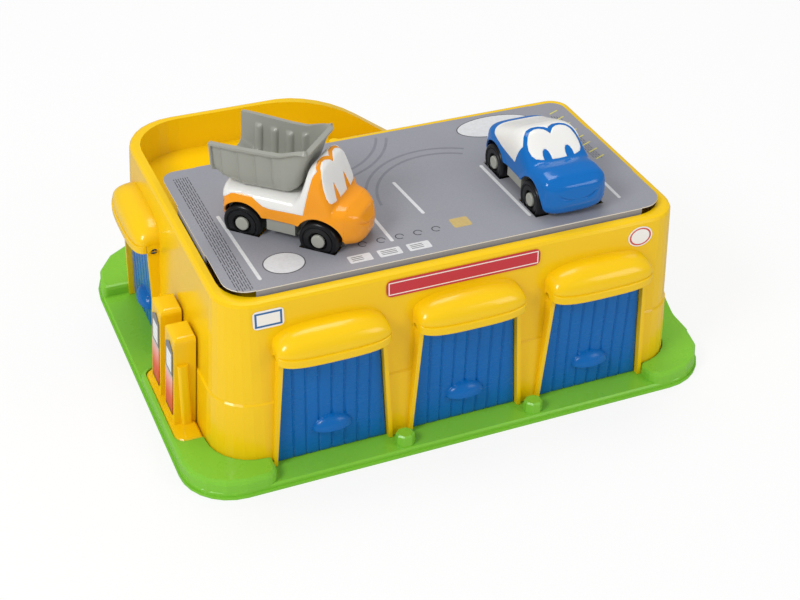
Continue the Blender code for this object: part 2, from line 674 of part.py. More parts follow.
def body_shell(group, cutters, paint, bays):
    """Make the shell: two blocks, the roof deck, the ramp lane and the door bays."""
    body = stacked("body_shell", front_block_corners(), body_levels(), group, paint)
    rear = stacked("rear_block", rear_block_corners(), body_levels(), cutters)
    lane = prism("lane_room", ramp_profile(), -FAR_PAST, LANE_FAR_Y, cutters, axis="Y")
    sky = prism("sky", sky_profile(), -FAR_PAST, BODY_DEPTH, cutters, axis="Y")
    cut(rear, lane, sky)
    join(body, rear)

    recess_corners = [(-RECESS_X, RECESS_NEAR_Y, RECESS_FRONT_RADIUS),
                      (RECESS_X, RECESS_NEAR_Y, RECESS_FRONT_RADIUS),
                      (RECESS_X, DIVIDER_NEAR_Y, RECESS_DIVIDER_RADIUS),
                      (-RECESS_X, DIVIDER_NEAR_Y, 0.0)]
    recess = prism("deck_recess", rounded(recess_corners), DECK_Z, BODY_TOP + PAST, cutters)
    landing_corners = [(-RECESS_X, 0.0, 0.0), (LANE_OPEN_X, 0.0, 0.0),
                       (LANE_OPEN_X, LANE_FAR_Y, 0.0), (-RECESS_X, LANE_FAR_Y, RECESS_BACK_RADIUS)]
    landing = prism("landing_room", rounded(landing_corners), DECK_Z, BODY_TOP + 2 * PAST, cutters)
    nose = cylinder("divider_nose", DIVIDER_WIDTH / 2, CAVITY_TOP + LAP, BODY_TOP,
                    (LANE_OPEN_X, (DIVIDER_NEAR_Y + DIVIDER_FAR_Y) / 2), "Z", cutters)
    cut(body, recess, landing)
    join(body, nose)

    levels = [(BODY_WALL + BAND_STEP, -PAST),
              (wall_inset(CAVITY_TOP, BODY_WALL), CAVITY_TOP)]
    front_room = stacked("front_room", front_block_corners(), levels, cutters)
    left_room = stacked("left_room", rear_block_corners(), levels, cutters)
    past_divider = box("past_divider", (LANE_OPEN_X + ROOM_LAP, -FAR_PAST, -2 * PAST),
                       (BODY_LENGTH, BODY_DEPTH, BODY_TOP), cutters)
    cut(left_room, past_divider)
    ramp_room = stacked("ramp_room", rear_block_corners(BLOCK_BACK_Y - ROOM_LAP - LAP / 2), levels,
                        cutters)
    over_ramp = prism("over_ramp", ramp_profile(DECK_THICK + RAMP_SKIN_GAP), -FAR_PAST,
                      BODY_DEPTH, cutters, axis="Y")
    cut(ramp_room, over_ramp)
    cut(body, front_room, left_room, ramp_room)
    for name, bay in bays.items():
        door_bay(name, body, bay, cutters)
    smooth(body)
    return body


def footprints(grow):
    """Return the foot outlines of the two blocks, grown by a clearance."""
    return [inset(block, -grow) for block in (front_block_corners(), rear_block_corners())]




def base_levels(top):
    """Return the (inset, z) levels of a moulded edge that ends in a soft rounding."""
    return [(RIM_REACH, RIM_THICK), (RIM_REACH, top - PAD_ROUND),
            (RIM_REACH + PAD_ROUND * 0.3, top - PAD_ROUND * 0.3), (RIM_REACH + PAD_ROUND, top)]


def pad_outlines():
    """Return the outlines of the raised pads, which reach under the body by PAD_LAP."""
    x, y = BASE_LENGTH / 2 - RIM_REACH, BASE_DEPTH / 2 - RIM_REACH
    inner_x, inner_y = BODY_LENGTH / 2 - PAD_LAP, BODY_DEPTH / 2 - PAD_LAP
    end = PAD_END_RADIUS
    near_left, near_right, _, far_left = BASE_RADII
    return {
        "near_left_pad": [
            (-x, LEFT_ROAD_NEAR_Y, end), (-x, -y, near_left - RIM_REACH),
            (FRONT_ROAD_LEFT_X, -y, end), (FRONT_ROAD_LEFT_X, -inner_y, 0.0),
            (-inner_x, -inner_y, 0.0), (-inner_x, LEFT_ROAD_NEAR_Y, 0.0)],
        "near_right_pad": [
            (FRONT_ROAD_RIGHT_X, -y, end), (x, -y, near_right - RIM_REACH),
            (x, RIGHT_PAD_END_Y, end), (inner_x, RIGHT_PAD_END_Y, 0.0),
            (inner_x, -inner_y, 0.0), (FRONT_ROAD_RIGHT_X, -inner_y, 0.0)],
        "far_left_pad": [
            (BACK_PAD_END_X, y, end), (-x, y, far_left - RIM_REACH),
            (-x, LEFT_ROAD_FAR_Y, LEFT_ROAD_FAR_RADIUS), (-inner_x, LEFT_ROAD_FAR_Y, 0.0),
            (-inner_x, inner_y, 0.0), (BACK_PAD_END_X, inner_y, 0.0)],
    }


def kerb_stop(outline, cutters):
    """Return the kerb that rises along the right edge and stops a rolling car."""
    x, y = BASE_LENGTH / 2, BASE_DEPTH / 2
    kerb = stacked("kerb", outline, base_levels(GUARD_TOP), cutters)
    reach = GUARD_LEVEL_Y - GUARD_START_Y
    side = [(GUARD_START_Y - GUARD_LEAD, FLOOR_Z, 0.0), (y, FLOOR_Z, 0.0), (y, GUARD_TOP + PAST, 0.0),
            (GUARD_LEVEL_Y, GUARD_TOP + PAST, 0.0), (GUARD_LEVEL_Y, GUARD_TOP, GUARD_ROUND - 2 * LAP),
            (GUARD_LEVEL_Y - reach * 0.25, GUARD_TOP - GUARD_EASE, GUARD_ROUND),
            (GUARD_START_Y + reach * 0.35, PAD_Z, GUARD_ROUND),
            (GUARD_START_Y - GUARD_LEAD, PAD_Z - LAP / 2, 0.0)]
    limits = prism("kerb_limits", rounded(side, SMALL_STEPS), BACK_PAD_END_X, x + PAST, cutters,
                   axis="X")
    set_in = RIM_REACH + GUARD_THICK
    low_x, high_x, high_y = RAMP_END_X - RUN_OFF_LAP, x - set_in, y - set_in
    run_off = [(low_x, RIGHT_PAD_END_Y, 0.0), (high_x, RIGHT_PAD_END_Y, RUN_OFF_RADIUS),
               (high_x, high_y, BASE_RADII[2] - GUARD_THICK), (low_x, high_y, 0.0)]
    keep_common(kerb, limits)
    cut(kerb, prism("run_off_room", rounded(run_off), FLOOR_Z + LAP, GUARD_TOP + PAST, cutters))
    return kerb


def bollard(name, middle, cutters):
    """Return an eight-sided post between two doors."""
    half, chamfer = BOLLARD_WIDTH / 2, BOLLARD_CHAMFER
    low, high = BOLLARD_NEAR_Y, BOLLARD_FAR_Y
    post = [(middle - half + chamfer, low, 1.0), (middle + half - chamfer, low, 1.0),
            (middle + half, low + chamfer, 1.0), (middle + half, high - chamfer, 1.0),
            (middle + half - chamfer, high, 1.0), (middle - half + chamfer, high, 1.0),
            (middle - half, high - chamfer, 1.0), (middle - half, low + chamfer, 1.0)]
    third = BOLLARD_SOFT / 3
    levels = [(0.0, FLOOR_Z), (third, PAD_Z - 2 * third), (BOLLARD_SOFT, PAD_Z)]
    return stacked(name, post, levels, cutters, steps=2)


def base(group, cutters, paint):
    """Make the tray: road, raised pads, bollards and the kerb, with a hollow underside."""
    x, y = BASE_LENGTH / 2, BASE_DEPTH / 2
    radii = BASE_RADII
    outline = [(-x, -y, radii[0]), (x, -y, radii[1]), (x, y, radii[2]), (-x, y, radii[3])]
    road = [(0.0, 0.0), (0.0, RIM_THICK), (RIM_REACH, RIM_THICK), (RIM_REACH, ROAD_Z - 1.2),
            (RIM_REACH + 1.2, ROAD_Z)]
    tray = stacked("base", outline, road, group, paint)

    soft = [(0.0, FLOOR_Z), (0.0, PAD_Z - PAD_ROUND), (PAD_ROUND * 0.3, PAD_Z - PAD_ROUND * 0.3),
            (PAD_ROUND, PAD_Z)]
    hollow = [(BASE_WALL, -PAST), (BASE_WALL, PAD_Z - BASE_WALL)]
    stops = [prism(f"room_stop_{i}", rounded(block), -FAR_PAST, PAD_Z + PAST, cutters)
             for i, block in enumerate(footprints(WALL_GUARD))]
    stops.append(prism("island_stop", rounded(island_outline(WALL_GUARD), SMALL_STEPS),
                       -FAR_PAST, PAD_Z + PAST, cutters))
    pad_rooms = []
    for name, corners in pad_outlines().items():
        join(tray, stacked(name, corners, soft, cutters, steps=SMALL_STEPS))
        room = stacked(name + "_room", corners, hollow, cutters, steps=SMALL_STEPS)
        cut(room, *stops)
        pad_rooms.append(room)
    join(tray, kerb_stop(outline, cutters))
    kerb_room = box("kerb_room", (BODY_LENGTH / 2 + WALL_GUARD, GUARD_LEVEL_Y, -PAST),
                    (x - RIM_REACH - BASE_WALL - PAD_ROUND, RIGHT_PAD_END_Y - BASE_WALL,
                     GUARD_TOP - BASE_WALL), cutters)
    for i in (0, 1):
        join(tray, bollard(f"bollard_{i + 1}", (DOOR_XS[i] + DOOR_XS[i + 1]) / 2, cutters))

    for i, block in enumerate(footprints(LOCATING_GAP)):
        cut(tray, prism(f"body_seat_{i}", rounded(block), ROAD_Z, GUARD_TOP + PAST, cutters))
    seat = rounded(island_outline(LOCATING_GAP), SMALL_STEPS)
    cut(tray, prism("island_seat", seat, ROAD_Z, PAD_Z + PAST, cutters))
    under_levels = [(RIM_REACH + BASE_WALL, -PAST), (RIM_REACH + BASE_WALL, FLOOR_Z)]
    under = stacked("under_room", outline, under_levels, cutters)
    cut(tray, *pad_rooms, kerb_room, under)
    smooth(tray)
    return tray


def island_outline(grow=0.0):
    """Return the pump island's outline; its straight side lies along the body."""
    corners = [(ISLAND_OUTER_X, ISLAND_NEAR_Y, ISLAND_RADIUS),
               (ISLAND_WALL_X, ISLAND_NEAR_Y, 1.0), (ISLAND_WALL_X, ISLAND_FAR_Y, 1.0),
               (ISLAND_OUTER_X, ISLAND_FAR_Y, ISLAND_RADIUS)]
    return inset(corners, -grow) if grow else corners


def pump_island(group, cutters, paint):
    """Make the island: a plate with two pumps, one of them with a nozzle in its holster."""
    levels = [(0.0, BODY_FOOT), (0.0, PAD_Z - ISLAND_ROUND), (ISLAND_ROUND, PAD_Z)]
    island = stacked("pump_island", island_outline(), levels, group, paint, steps=SMALL_STEPS)
    back_top_x = ISLAND_WALL_X + BODY_TAPER * (PUMP_TOP - BODY_FOOT)
    side = [(PUMP_FACE_FOOT_X, PUMP_FOOT, 0.0), (ISLAND_WALL_X, PUMP_FOOT, 0.0),
            (back_top_x, PUMP_TOP, 1.0), (PUMP_FACE_TOP_X, PUMP_TOP, PUMP_RADIUS)]
    for i, y in enumerate(PUMP_YS):
        low, high = y - PUMP_WIDTH / 2, y + PUMP_WIDTH / 2
        pump = prism(f"pump_{i + 1}", rounded(side, SMALL_STEPS), low, high, cutters, axis="Y")
        front = [(low, 0.0, 0.0), (high, 0.0, 0.0), (high, PUMP_TOP, PUMP_RADIUS),
                 (low, PUMP_TOP, PUMP_RADIUS)]
        keep_common(pump, prism(f"pump_{i + 1}_front", rounded(front, SMALL_STEPS),
                                ISLAND_OUTER_X - PAST, 0.0, cutters, axis="X"))
        join(island, pump)
    near = PUMP_YS[0] - PUMP_WIDTH / 2
    middle = (PUMP_FACE_FOOT_X + ISLAND_WALL_X) / 2 + NOZZLE_SET_IN
    low, high = middle - NOZZLE_WIDTH / 2, middle + NOZZLE_WIDTH / 2
    nozzle = [(low, near - NOZZLE_DEPTH, NOZZLE_RADIUS), (high, near - NOZZLE_DEPTH, NOZZLE_RADIUS),
              (high, near + LAP, 0.0), (low, near + LAP, 0.0)]
    join(island, prism("nozzle", rounded(nozzle, SMALL_STEPS), PAD_Z - LAP,
                       PAD_Z + NOZZLE_HEIGHT, cutters))
    smooth(island)
    return island




def door_handle(name, cutters):
    """Return a cup pull: the front upper quarter of a flattened ball on the door's face."""
    face = DOOR_FACE_SET_IN
    work = bmesh.new()
    grow = Matrix.Diagonal((HANDLE_HALF_WIDTH, HANDLE_REACH, HANDLE_HEIGHT, 1.0))
    place = Matrix.Translation((0.0, face + GROOVE_DEPTH / 2, HANDLE_FOOT))
    bmesh.ops.create_uvsphere(work, u_segments=20, v_segments=12, radius=1.0, matrix=place @ grow)
    handle = add_mesh_object(name + "_handle", mesh_from(name + "_handle", work), cutters)
    lows = (-HANDLE_HALF_WIDTH - LAP, face - HANDLE_REACH - LAP, HANDLE_FOOT)
    highs = (HANDLE_HALF_WIDTH + LAP, face + DOOR_THICK - LAP, HANDLE_FOOT + HANDLE_HEIGHT + LAP)
    half = box(name + "_handle_half", lows, highs, cutters)
    keep_common(handle, half)
    return handle, half


def door(name, bay, group, cutters, paint):
    """Make a door in its bay's frame: panel with grooves, handle, barrel and hinge pins."""
    foot, top = bay_half_width(DOOR_BOTTOM) - DOOR_SIDE_GAP, bay_half_width(DOOR_TOP) - DOOR_SIDE_GAP
    face = DOOR_FACE_SET_IN
    outline = [(-foot, DOOR_BOTTOM), (foot, DOOR_BOTTOM), (top, DOOR_TOP), (-top, DOOR_TOP)]
    panel = prism(name, outline, face, face + DOOR_THICK, group, paint, axis="Y")
    panel.data.transform(Matrix.Translation(Vector((0.0, -HINGE_SET_IN, -HINGE_Z)) * MM))
    panel.location = Vector((0.0, HINGE_SET_IN, HINGE_Z)) * MM
    grooves = []
    groove_top = HINGE_Z - BARREL_RADIUS - GROOVE_END_GAP
    for k in range(GROOVE_COUNT):
        u = (k - (GROOVE_COUNT - 1) / 2) * GROOVE_PITCH
        grooves.append(box(f"{name}_groove_{k + 1}", (u - GROOVE_WIDTH / 2, face - LAP, 0.0),
                           (u + GROOVE_WIDTH / 2, face + GROOVE_DEPTH, groove_top), cutters))
    cut(panel, *grooves)
    handle, handle_half = door_handle(name, cutters)
    pivot = (HINGE_SET_IN, HINGE_Z)
    barrel_half = bay_half_width(HINGE_Z) - DOOR_SIDE_GAP
    pin_half = bay_half_width(HINGE_Z) + FIN_THICK - PIN_END_GAP
    barrel = cylinder(name + "_barrel", BARREL_RADIUS, -barrel_half, barrel_half, pivot, "X",
                      cutters, segments=16)
    pins = cylinder(name + "_pins", PIN_RADIUS, -pin_half, pin_half, pivot, "X", cutters,
                    segments=16)
    join(panel, handle, barrel, pins)
    carry(bay, panel, handle, handle_half, barrel, pins, *grooves)
    smooth(panel)
    return panel




def vehicle_wheels(place, heading):
    """Return the world (x, y) of a vehicle's four wheels."""
    spots = []
    for along in (-WHEELBASE / 2, WHEELBASE / 2):
        for aside in (-1.0, 1.0):
            offset = Vector((along, aside * (TRACK_OUTER - WHEEL_WIDTH) / 2))
            spots.append(Vector(place) + Matrix.Rotation(heading, 2) @ offset)
    return spots


def card_insert(group, cutters, paint):
    """Make the folded card: a parking top on four flaps, with slots for the wheels."""
    low = CARD_TOP - CARD_THICK
    near, far, left, right = CARD_NEAR_Y, CARD_FAR_Y, CARD_LEFT_X, CARD_RIGHT_X
    corners = [(left, near, CARD_FRONT_RADIUS), (right, near, CARD_FRONT_RADIUS),
               (right, far, CARD_BACK_RADIUS), (left, far, CARD_BACK_RADIUS)]
    card = prism("card_insert", rounded(corners), low, CARD_TOP, group, paint)
    foot = DECK_Z + SEAT_GAP
    lap = CARD_THICK / 2
    flaps = {
        "front_flap": (FRONT_FLAP, (near - lap, near + lap)),
        "back_flap": (BACK_FLAP, (far - lap, far + lap)),
        "left_flap": ((left - lap, left + lap), LEFT_FLAP),
        "right_flap": ((right - lap, right + lap), RIGHT_FLAP),
    }
    for name, (along, across) in flaps.items():
        join(card, box(name, (along[0], across[0], foot), (along[1], across[1], CARD_TOP), cutters))
    vehicles = {"truck": (TRUCK_PLACE, TRUCK_HEADING), "car": (CAR_PLACE, CAR_HEADING)}
    for name, (place, heading) in vehicles.items():
        for i, spot in enumerate(vehicle_wheels(place, heading)):
            slot = box(f"{name}_slot_{i + 1}", (-SLOT_LENGTH / 2, -SLOT_WIDTH / 2, low - LAP),
                       (SLOT_LENGTH / 2, SLOT_WIDTH / 2, CARD_TOP + LAP), cutters)
            slot.location = (spot.x * MM, spot.y * MM, 0.0)
            slot.rotation_euler.z = heading
            cut(card, slot)
    return card




def label(name, outline, group, paint, place, turn, tilt):
    """Make a thin label and stand it against a leaning wall, SEAT_GAP away from it."""
    made = prism(name, outline, -LABEL_THICK, 0.0, group, paint, axis="Y")
    made.matrix_world = (Matrix.Translation(Vector(place) * MM) @ Matrix.Rotation(turn, 4, "Z")
                         @ Matrix.Rotation(-tilt, 4, "X"))
    return made


def oval(half_length, half_height):
    """Return the points of an ellipse."""
    turns = [2 * math.pi * k / OVAL_STEPS for k in range(OVAL_STEPS)]
    return [(half_length * math.cos(t), half_height * math.sin(t)) for t in turns]




def plaque(length, height, radius):
    """Return a rounded rectangle about its centre."""
    x, z = length / 2, height / 2
    corners = [(-x, -z, radius), (x, -z, radius), (x, z, radius), (-x, z, radius)]
    return rounded(corners, SMALL_STEPS)


def labels(group, paints):
    """Make the labels on the front wall and on the pumps."""
    wall_y = -BODY_DEPTH / 2 + wall_inset(FRONT_LABEL_Z) - SEAT_GAP
    side_z = FRONT_LABEL_Z - SIDE_LABEL_DROP
    front = plaque(FRONT_LABEL_LENGTH, FRONT_LABEL_HEIGHT, FRONT_LABEL_RADIUS)
    corner = plaque(CORNER_LABEL_LENGTH, CORNER_LABEL_HEIGHT, CORNER_LABEL_RADIUS)
    made = [
        label("front_label", front, group, paints["label_red"], (0.0, wall_y, FRONT_LABEL_Z),
              0.0, WALL_DRAFT),
        label("corner_label", corner, group, paints["label_white"],
              (CORNER_LABEL_X, wall_y, side_z), 0.0, WALL_DRAFT),
        label("oval_label", oval(OVAL_HALF_LENGTH, OVAL_HALF_HEIGHT), group,
              paints["label_white"], (OVAL_LABEL_X, wall_y, side_z), 0.0, WALL_DRAFT),
    ]
    slant = (PUMP_FACE_TOP_X - PUMP_FACE_FOOT_X) / (PUMP_TOP - PUMP_FOOT)
    half, height = PUMP_LABEL_WIDTH / 2, PUMP_LABEL_HEIGHT
    outline = [(-half, 0.0), (half, 0.0), (half, height - PUMP_LABEL_PEAK), (0.0, height),
               (-half, height - PUMP_LABEL_PEAK)]
    foot_x = PUMP_FACE_FOOT_X + slant * (PUMP_LABEL_FOOT - PUMP_FOOT) - SEAT_GAP
    for i, y in enumerate(PUMP_YS):
        made.append(label(f"pump_label_{i + 1}", outline, group, paints["label_white"],
                          (foot_x, y, PUMP_LABEL_FOOT), -math.pi / 2, math.atan(slant)))
    return made




def envelope(name, outlines, group, cutters, paint):
    """Make the solid whose side, plan and front outlines are given."""
    side, plan, front = (rounded(outline, SMALL_STEPS) for outline in outlines)
    made = prism(name, side, -FAR_PAST, FAR_PAST, group, paint, axis="Y")
    across = prism(name + "_plan", plan, -FAR_PAST, 2 * FAR_PAST, cutters)
    along = prism(name + "_front", front, -2 * FAR_PAST, 2 * FAR_PAST, cutters, axis="X")
    keep_common(made, across, along)
    return made, [across, along]




def mirrored(corners):
    """Complete a half outline, given from its foot up at +first axis, with its mirror image."""
    return corners + [(-a, b, radius) for a, b, radius in reversed(corners)]


def two_tone(name, parts, place, group, cutters, paints):
    """Make a vehicle's coloured body and its white shell, which has the windscreen.

    Both are cut from one envelope. The white shell runs under the coloured frame as a core,
    so the roof and the two-lobed windscreen are one moulding.
    """
    outlines, white, core, screen, depth = parts
    coloured, guides = envelope(name + "_body", outlines, group, cutters, paints[0])
    shell, more = envelope(name + "_shell", outlines, group, cutters, paints[1])
    gap = PART_LINE
    white_part = prism(name + "_white_part", rounded(white, SMALL_STEPS), -FAR_PAST, FAR_PAST,
                       cutters, axis="Y")
    white_room = prism(name + "_white_room", rounded(inset(white, -gap), SMALL_STEPS),
                       -FAR_PAST, FAR_PAST, cutters, axis="Y")
    core_part = box(name + "_core", core[0], core[1], cutters)
    core_room = box(name + "_core_room", [c - gap for c in core[0]], [c + gap for c in core[1]],
                    cutters)
    lobes = mirrored(screen[:-1])
    lobes.insert(len(screen) - 1, screen[-1])
    lobe_part = prism(name + "_lobes", rounded(lobes, SMALL_STEPS), depth[0] + gap, depth[1],
                      cutters, axis="X")
    lobe_room = prism(name + "_lobe_room", rounded(inset(lobes, -gap), SMALL_STEPS), depth[0],
                      depth[1], cutters, axis="X")
    join(white_part, core_part, lobe_part)
    keep_common(shell, white_part)
    cut(coloured, white_room, core_room, lobe_room)
    reach = WHEELBASE / 2 + ARCH_RADIUS - LAP
    underside = box(name + "_underside", (-reach, -FAR_PAST, -PAST),
                    (reach, FAR_PAST, CHASSIS_TOP + SEAT_GAP), cutters)
    arches = []
    for i, along in enumerate((-WHEELBASE / 2, WHEELBASE / 2)):
        for aside in (-1, 1):
            low, high = sorted((aside * (CHASSIS_HALF_WIDTH + ARCH_GAP), aside * FAR_PAST))
            arches.append(cylinder(f"{name}_arch_{i}_{aside}", ARCH_RADIUS, low, high,
                                   (along, WHEEL_RADIUS), "Y", cutters, segments=28))
    cut(coloured, underside, *arches)
    carry(place, coloured, shell, *guides, *more, white_room, white_part, core_part, core_room,
          lobe_part, lobe_room, underside, *arches)
    smooth(coloured)
    smooth(shell)
    return coloured, shell




def chassis(name, place, group, cutters, paint):
    """Make the grey chassis, with sills between the wheels and holes for the axles."""
    reach = WHEELBASE / 2 + ARCH_RADIUS - CHASSIS_END_GAP
    frame = box(name + "_chassis", (-reach, -CHASSIS_HALF_WIDTH, CHASSIS_BOTTOM),
                (reach, CHASSIS_HALF_WIDTH, CHASSIS_TOP), group, paint)
    sill = box(name + "_sill", (-SILL_HALF_LENGTH, -SILL_HALF_WIDTH, SILL_BOTTOM),
               (SILL_HALF_LENGTH, SILL_HALF_WIDTH, CHASSIS_TOP), cutters)
    join(frame, sill)
    carry(place, frame, sill)
    for i, along in enumerate((-WHEELBASE / 2, WHEELBASE / 2)):
        bore = cylinder(f"{name}_bore_{i + 1}", AXLE_RADIUS + AXLE_CLEARANCE, -TRACK_OUTER,
                        TRACK_OUTER,
                        (along, WHEEL_RADIUS), "Y", cutters, segments=16)
        carry(place, bore)
        cut(frame, bore)
    return frame


def wheel_profile():
    """Return the wheel's (radius, y) section, outer face at +y, with the hub's recess."""
    half, bore = WHEEL_WIDTH / 2, AXLE_RADIUS + HUB_CLEARANCE
    recess = HUB_RADIUS + HUB_CLEARANCE
    floor = half - HUB_THICK - 0.4
    soft = TYRE_ROUND
    return [(WHEEL_RADIUS - soft, half), (WHEEL_RADIUS - soft * 0.3, half - soft * 0.3),
            (WHEEL_RADIUS, half - soft), (WHEEL_RADIUS, -half + soft),
            (WHEEL_RADIUS - soft, -half), (bore, -half), (bore, floor), (recess, floor),
            (recess, half - 1.0), (recess + 1.5, half - 1.0), (recess + 2.5, half)]


def wheels_and_axles(name, place, group, paints):
    """Make two axles with hub ends and the four wheels pressed on them."""
    end = TRACK_OUTER / 2
    head = end - HUB_THICK
    axle = [(0.0, end), (HUB_RADIUS - 0.8, end), (HUB_RADIUS, end - 0.8), (HUB_RADIUS, head),
            (AXLE_RADIUS, head), (AXLE_RADIUS, -head), (HUB_RADIUS, -head),
            (HUB_RADIUS, -end + 0.8), (HUB_RADIUS - 0.8, -end), (0.0, -end)]
    for where, along in (("rear", -WHEELBASE / 2), ("front", WHEELBASE / 2)):
        shaft = turned(f"{name}_{where}_axle", axle, group, paints["hub_grey"], steps=16)
        shaft.location = Vector((along, 0.0, WHEEL_RADIUS)) * MM
        carry(place, shaft)
        for side, turn in (("left", 0.0), ("right", math.pi)):
            wheel = turned(f"{name}_{where}_{side}_wheel", wheel_profile(), group, paints["tyre"],
                           WHEEL_STEPS)
            aside = (TRACK_OUTER - WHEEL_WIDTH) / 2 * (1.0 if side == "left" else -1.0)
            wheel.location = Vector((along, aside, WHEEL_RADIUS)) * MM
            wheel.rotation_euler.z = turn
            carry(place, wheel)


def truck_bed(place, shell, group, cutters, paint):
    """Make the tipper bed with flaring ribbed walls, open at its rear, and its pivot."""
    low, high = BED_SIDE[2][1] - LAP, max(z for _, z, _ in BED_SIDE) + LAP
    foot, rim, wall = BED_HALF_FOOT, BED_HALF_RIM, BED_WALL
    front = mirrored([(foot, low, 3.0), (rim, high, 0.0)])
    bed = prism("truck_bed", rounded(BED_SIDE, SMALL_STEPS), -FAR_PAST, FAR_PAST, group, paint,
                axis="Y")
    taper = prism("bed_taper", rounded(front, SMALL_STEPS), -2 * FAR_PAST, FAR_PAST, cutters,
                  axis="X")
    keep_common(bed, taper)
    room = prism("bed_room", rounded(BED_ROOM, SMALL_STEPS), -FAR_PAST, FAR_PAST, cutters,
                 axis="Y")
    inner = mirrored([(foot - wall, low, 3.0), (rim - wall, high + PAST, 0.0)])
    room_taper = prism("bed_room_taper", rounded(inner, SMALL_STEPS), -2 * FAR_PAST, FAR_PAST,
                       cutters, axis="X")
    keep_common(room, room_taper)
    ribs = []
    outer = mirrored([(foot + BED_RIB_SIZE, low, 0.0), (rim + BED_RIB_SIZE, high, 0.0)])
    for k in range(BED_RIB_COUNT):
        x = BED_RIB_START_X + k * BED_RIB_PITCH
        rib = box(f"bed_rib_{k + 1}", (x, -rim, BED_RIB_FOOT), (x + BED_RIB_SIZE, rim, BED_RIB_TOP),
                  cutters)
        limit = prism(f"bed_rib_{k + 1}_limit", rounded(outer, 1), -2 * FAR_PAST, FAR_PAST,
                      cutters, axis="X")
        keep_common(rib, limit)
        join(bed, rib)
        ribs += [rib, limit]
    x, z = BED_PIVOT
    half = BED_PIVOT_HALF
    barrel = cylinder("bed_barrel", BED_PIVOT_RADIUS, -half, half, BED_PIVOT, "Y", cutters,
                      segments=16)
    pins = cylinder("bed_pins", BED_PIN_RADIUS, -half - BED_PIN_REACH, half + BED_PIN_REACH,
                    BED_PIVOT, "Y", cutters, segments=12)
    web_end = half - LAP / 2
    web = box("bed_web", (x - BED_WEB_HALF, -web_end, z),
              (x + BED_WEB_HALF, web_end, BED_WEB_TOP), cutters)
    join(bed, barrel, pins, web)
    cut(bed, room)
    gap = LOCATING_GAP
    reach = BED_PIVOT_RADIUS + gap
    trough = box("bed_trough", (x - reach - TROUGH_BEHIND, -half - gap, z - reach),
                 (x + reach + TROUGH_AHEAD, half + gap, TROUGH_TOP), cutters)
    sockets = cylinder("bed_sockets", BED_PIN_RADIUS + gap, -half - BED_PIN_REACH - gap,
                       half + BED_PIN_REACH + gap, BED_PIVOT, "Y", cutters, segments=12)
    cut(shell, trough, sockets)
    carry(place, bed, taper, room, room_taper, barrel, pins, web, trough, sockets, *ribs)
    pivot = Vector((x, 0.0, z)) * MM
    bed.data.transform(Matrix.Translation(-pivot))
    bed.location = pivot
    smooth(bed)
    return bed




def main():
    """Build the garage, its card insert and its two vehicles."""
    for old in list(bpy.data.objects):
        bpy.data.objects.remove(old)
    group = collection(OBJECT_NAME)
    cutters = collection(OBJECT_NAME + "_cutters")
    paints = {
        "yellow": material("yellow_plastic", (0.86, 0.56, 0.02), 0.28),
        "green": material("green_plastic", (0.17, 0.50, 0.05), 0.35),
        "blue": material("blue_plastic", (0.01, 0.14, 0.50), 0.30),
        "card": material("printed_card", (0.27, 0.28, 0.31), 0.60),
        "label_red": material("red_label", (0.55, 0.06, 0.07), 0.40),
        "label_white": material("white_label", (0.80, 0.80, 0.78), 0.40),
        "orange": material("orange_plastic", (0.90, 0.36, 0.02), 0.28),
        "white": material("white_plastic", (0.80, 0.80, 0.80), 0.28),
        "grey": material("grey_plastic", (0.33, 0.34, 0.30), 0.40),
        "hub_grey": material("hub_plastic", (0.40, 0.41, 0.37), 0.40),
        "tyre": material("black_plastic", (0.02, 0.02, 0.022), 0.50),
    }
    base(group, cutters, paints["green"])
    bays = {}
    for i, x in enumerate(DOOR_XS):
        bays[f"door_{i + 1}"] = empty(f"bay_{i + 1}", group, (x, -BODY_DEPTH / 2, 0.0))
    bays["door_left"] = empty("bay_left", group, (-BODY_LENGTH / 2, LEFT_DOOR_Y, 0.0), -math.pi / 2)
    body_shell(group, cutters, paints["yellow"], bays)
    pump_island(group, cutters, paints["yellow"])
    for name, bay in bays.items():
        door(name, bay, group, cutters, paints["blue"])
    card_insert(group, cutters, paints["card"])
    labels(group, paints)

    truck = empty("truck_place", group, (*TRUCK_PLACE, VEHICLE_Z), TRUCK_HEADING)
    truck_parts = ((TRUCK_SIDE, TRUCK_PLAN, mirrored(TRUCK_FRONT)), TRUCK_WHITE, TRUCK_CORE,
                   TRUCK_SCREEN, TRUCK_SCREEN_DEPTH)
    shell = two_tone("truck", truck_parts, truck, group, cutters,
                     (paints["orange"], paints["white"]))[1]
    chassis("truck", truck, group, cutters, paints["grey"])
    wheels_and_axles("truck", truck, group, paints)
    truck_bed(truck, shell, group, cutters, paints["grey"])

    car = empty("car_place", group, (*CAR_PLACE, VEHICLE_Z), CAR_HEADING)
    car_parts = ((CAR_SIDE, CAR_PLAN, mirrored(CAR_FRONT)), CAR_WHITE, CAR_CORE, CAR_SCREEN,
                 CAR_SCREEN_DEPTH)
    two_tone("car", car_parts, car, group, cutters, (paints["blue"], paints["white"]))
    chassis("car", car, group, cutters, paints["grey"])
    wheels_and_axles("car", car, group, paints)


main()
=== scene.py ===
"""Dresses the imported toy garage: moulded plastic, printed card, labels and two small vehicles.

Sizes are in millimetres and each mesh is turned into metres when it is made. The origin is the
bottom centre of the base, +X runs to the right along the front wall, +Y to the back, +Z up.
Each vehicle has a frame of its own: x forward, y to its left, z up from under its wheels.
"""

import json
import logging
import math
from collections.abc import Callable
from dataclasses import dataclass, field
from enum import Enum

import bmesh
import bpy
import numpy as np
from mathutils import Matrix, Vector

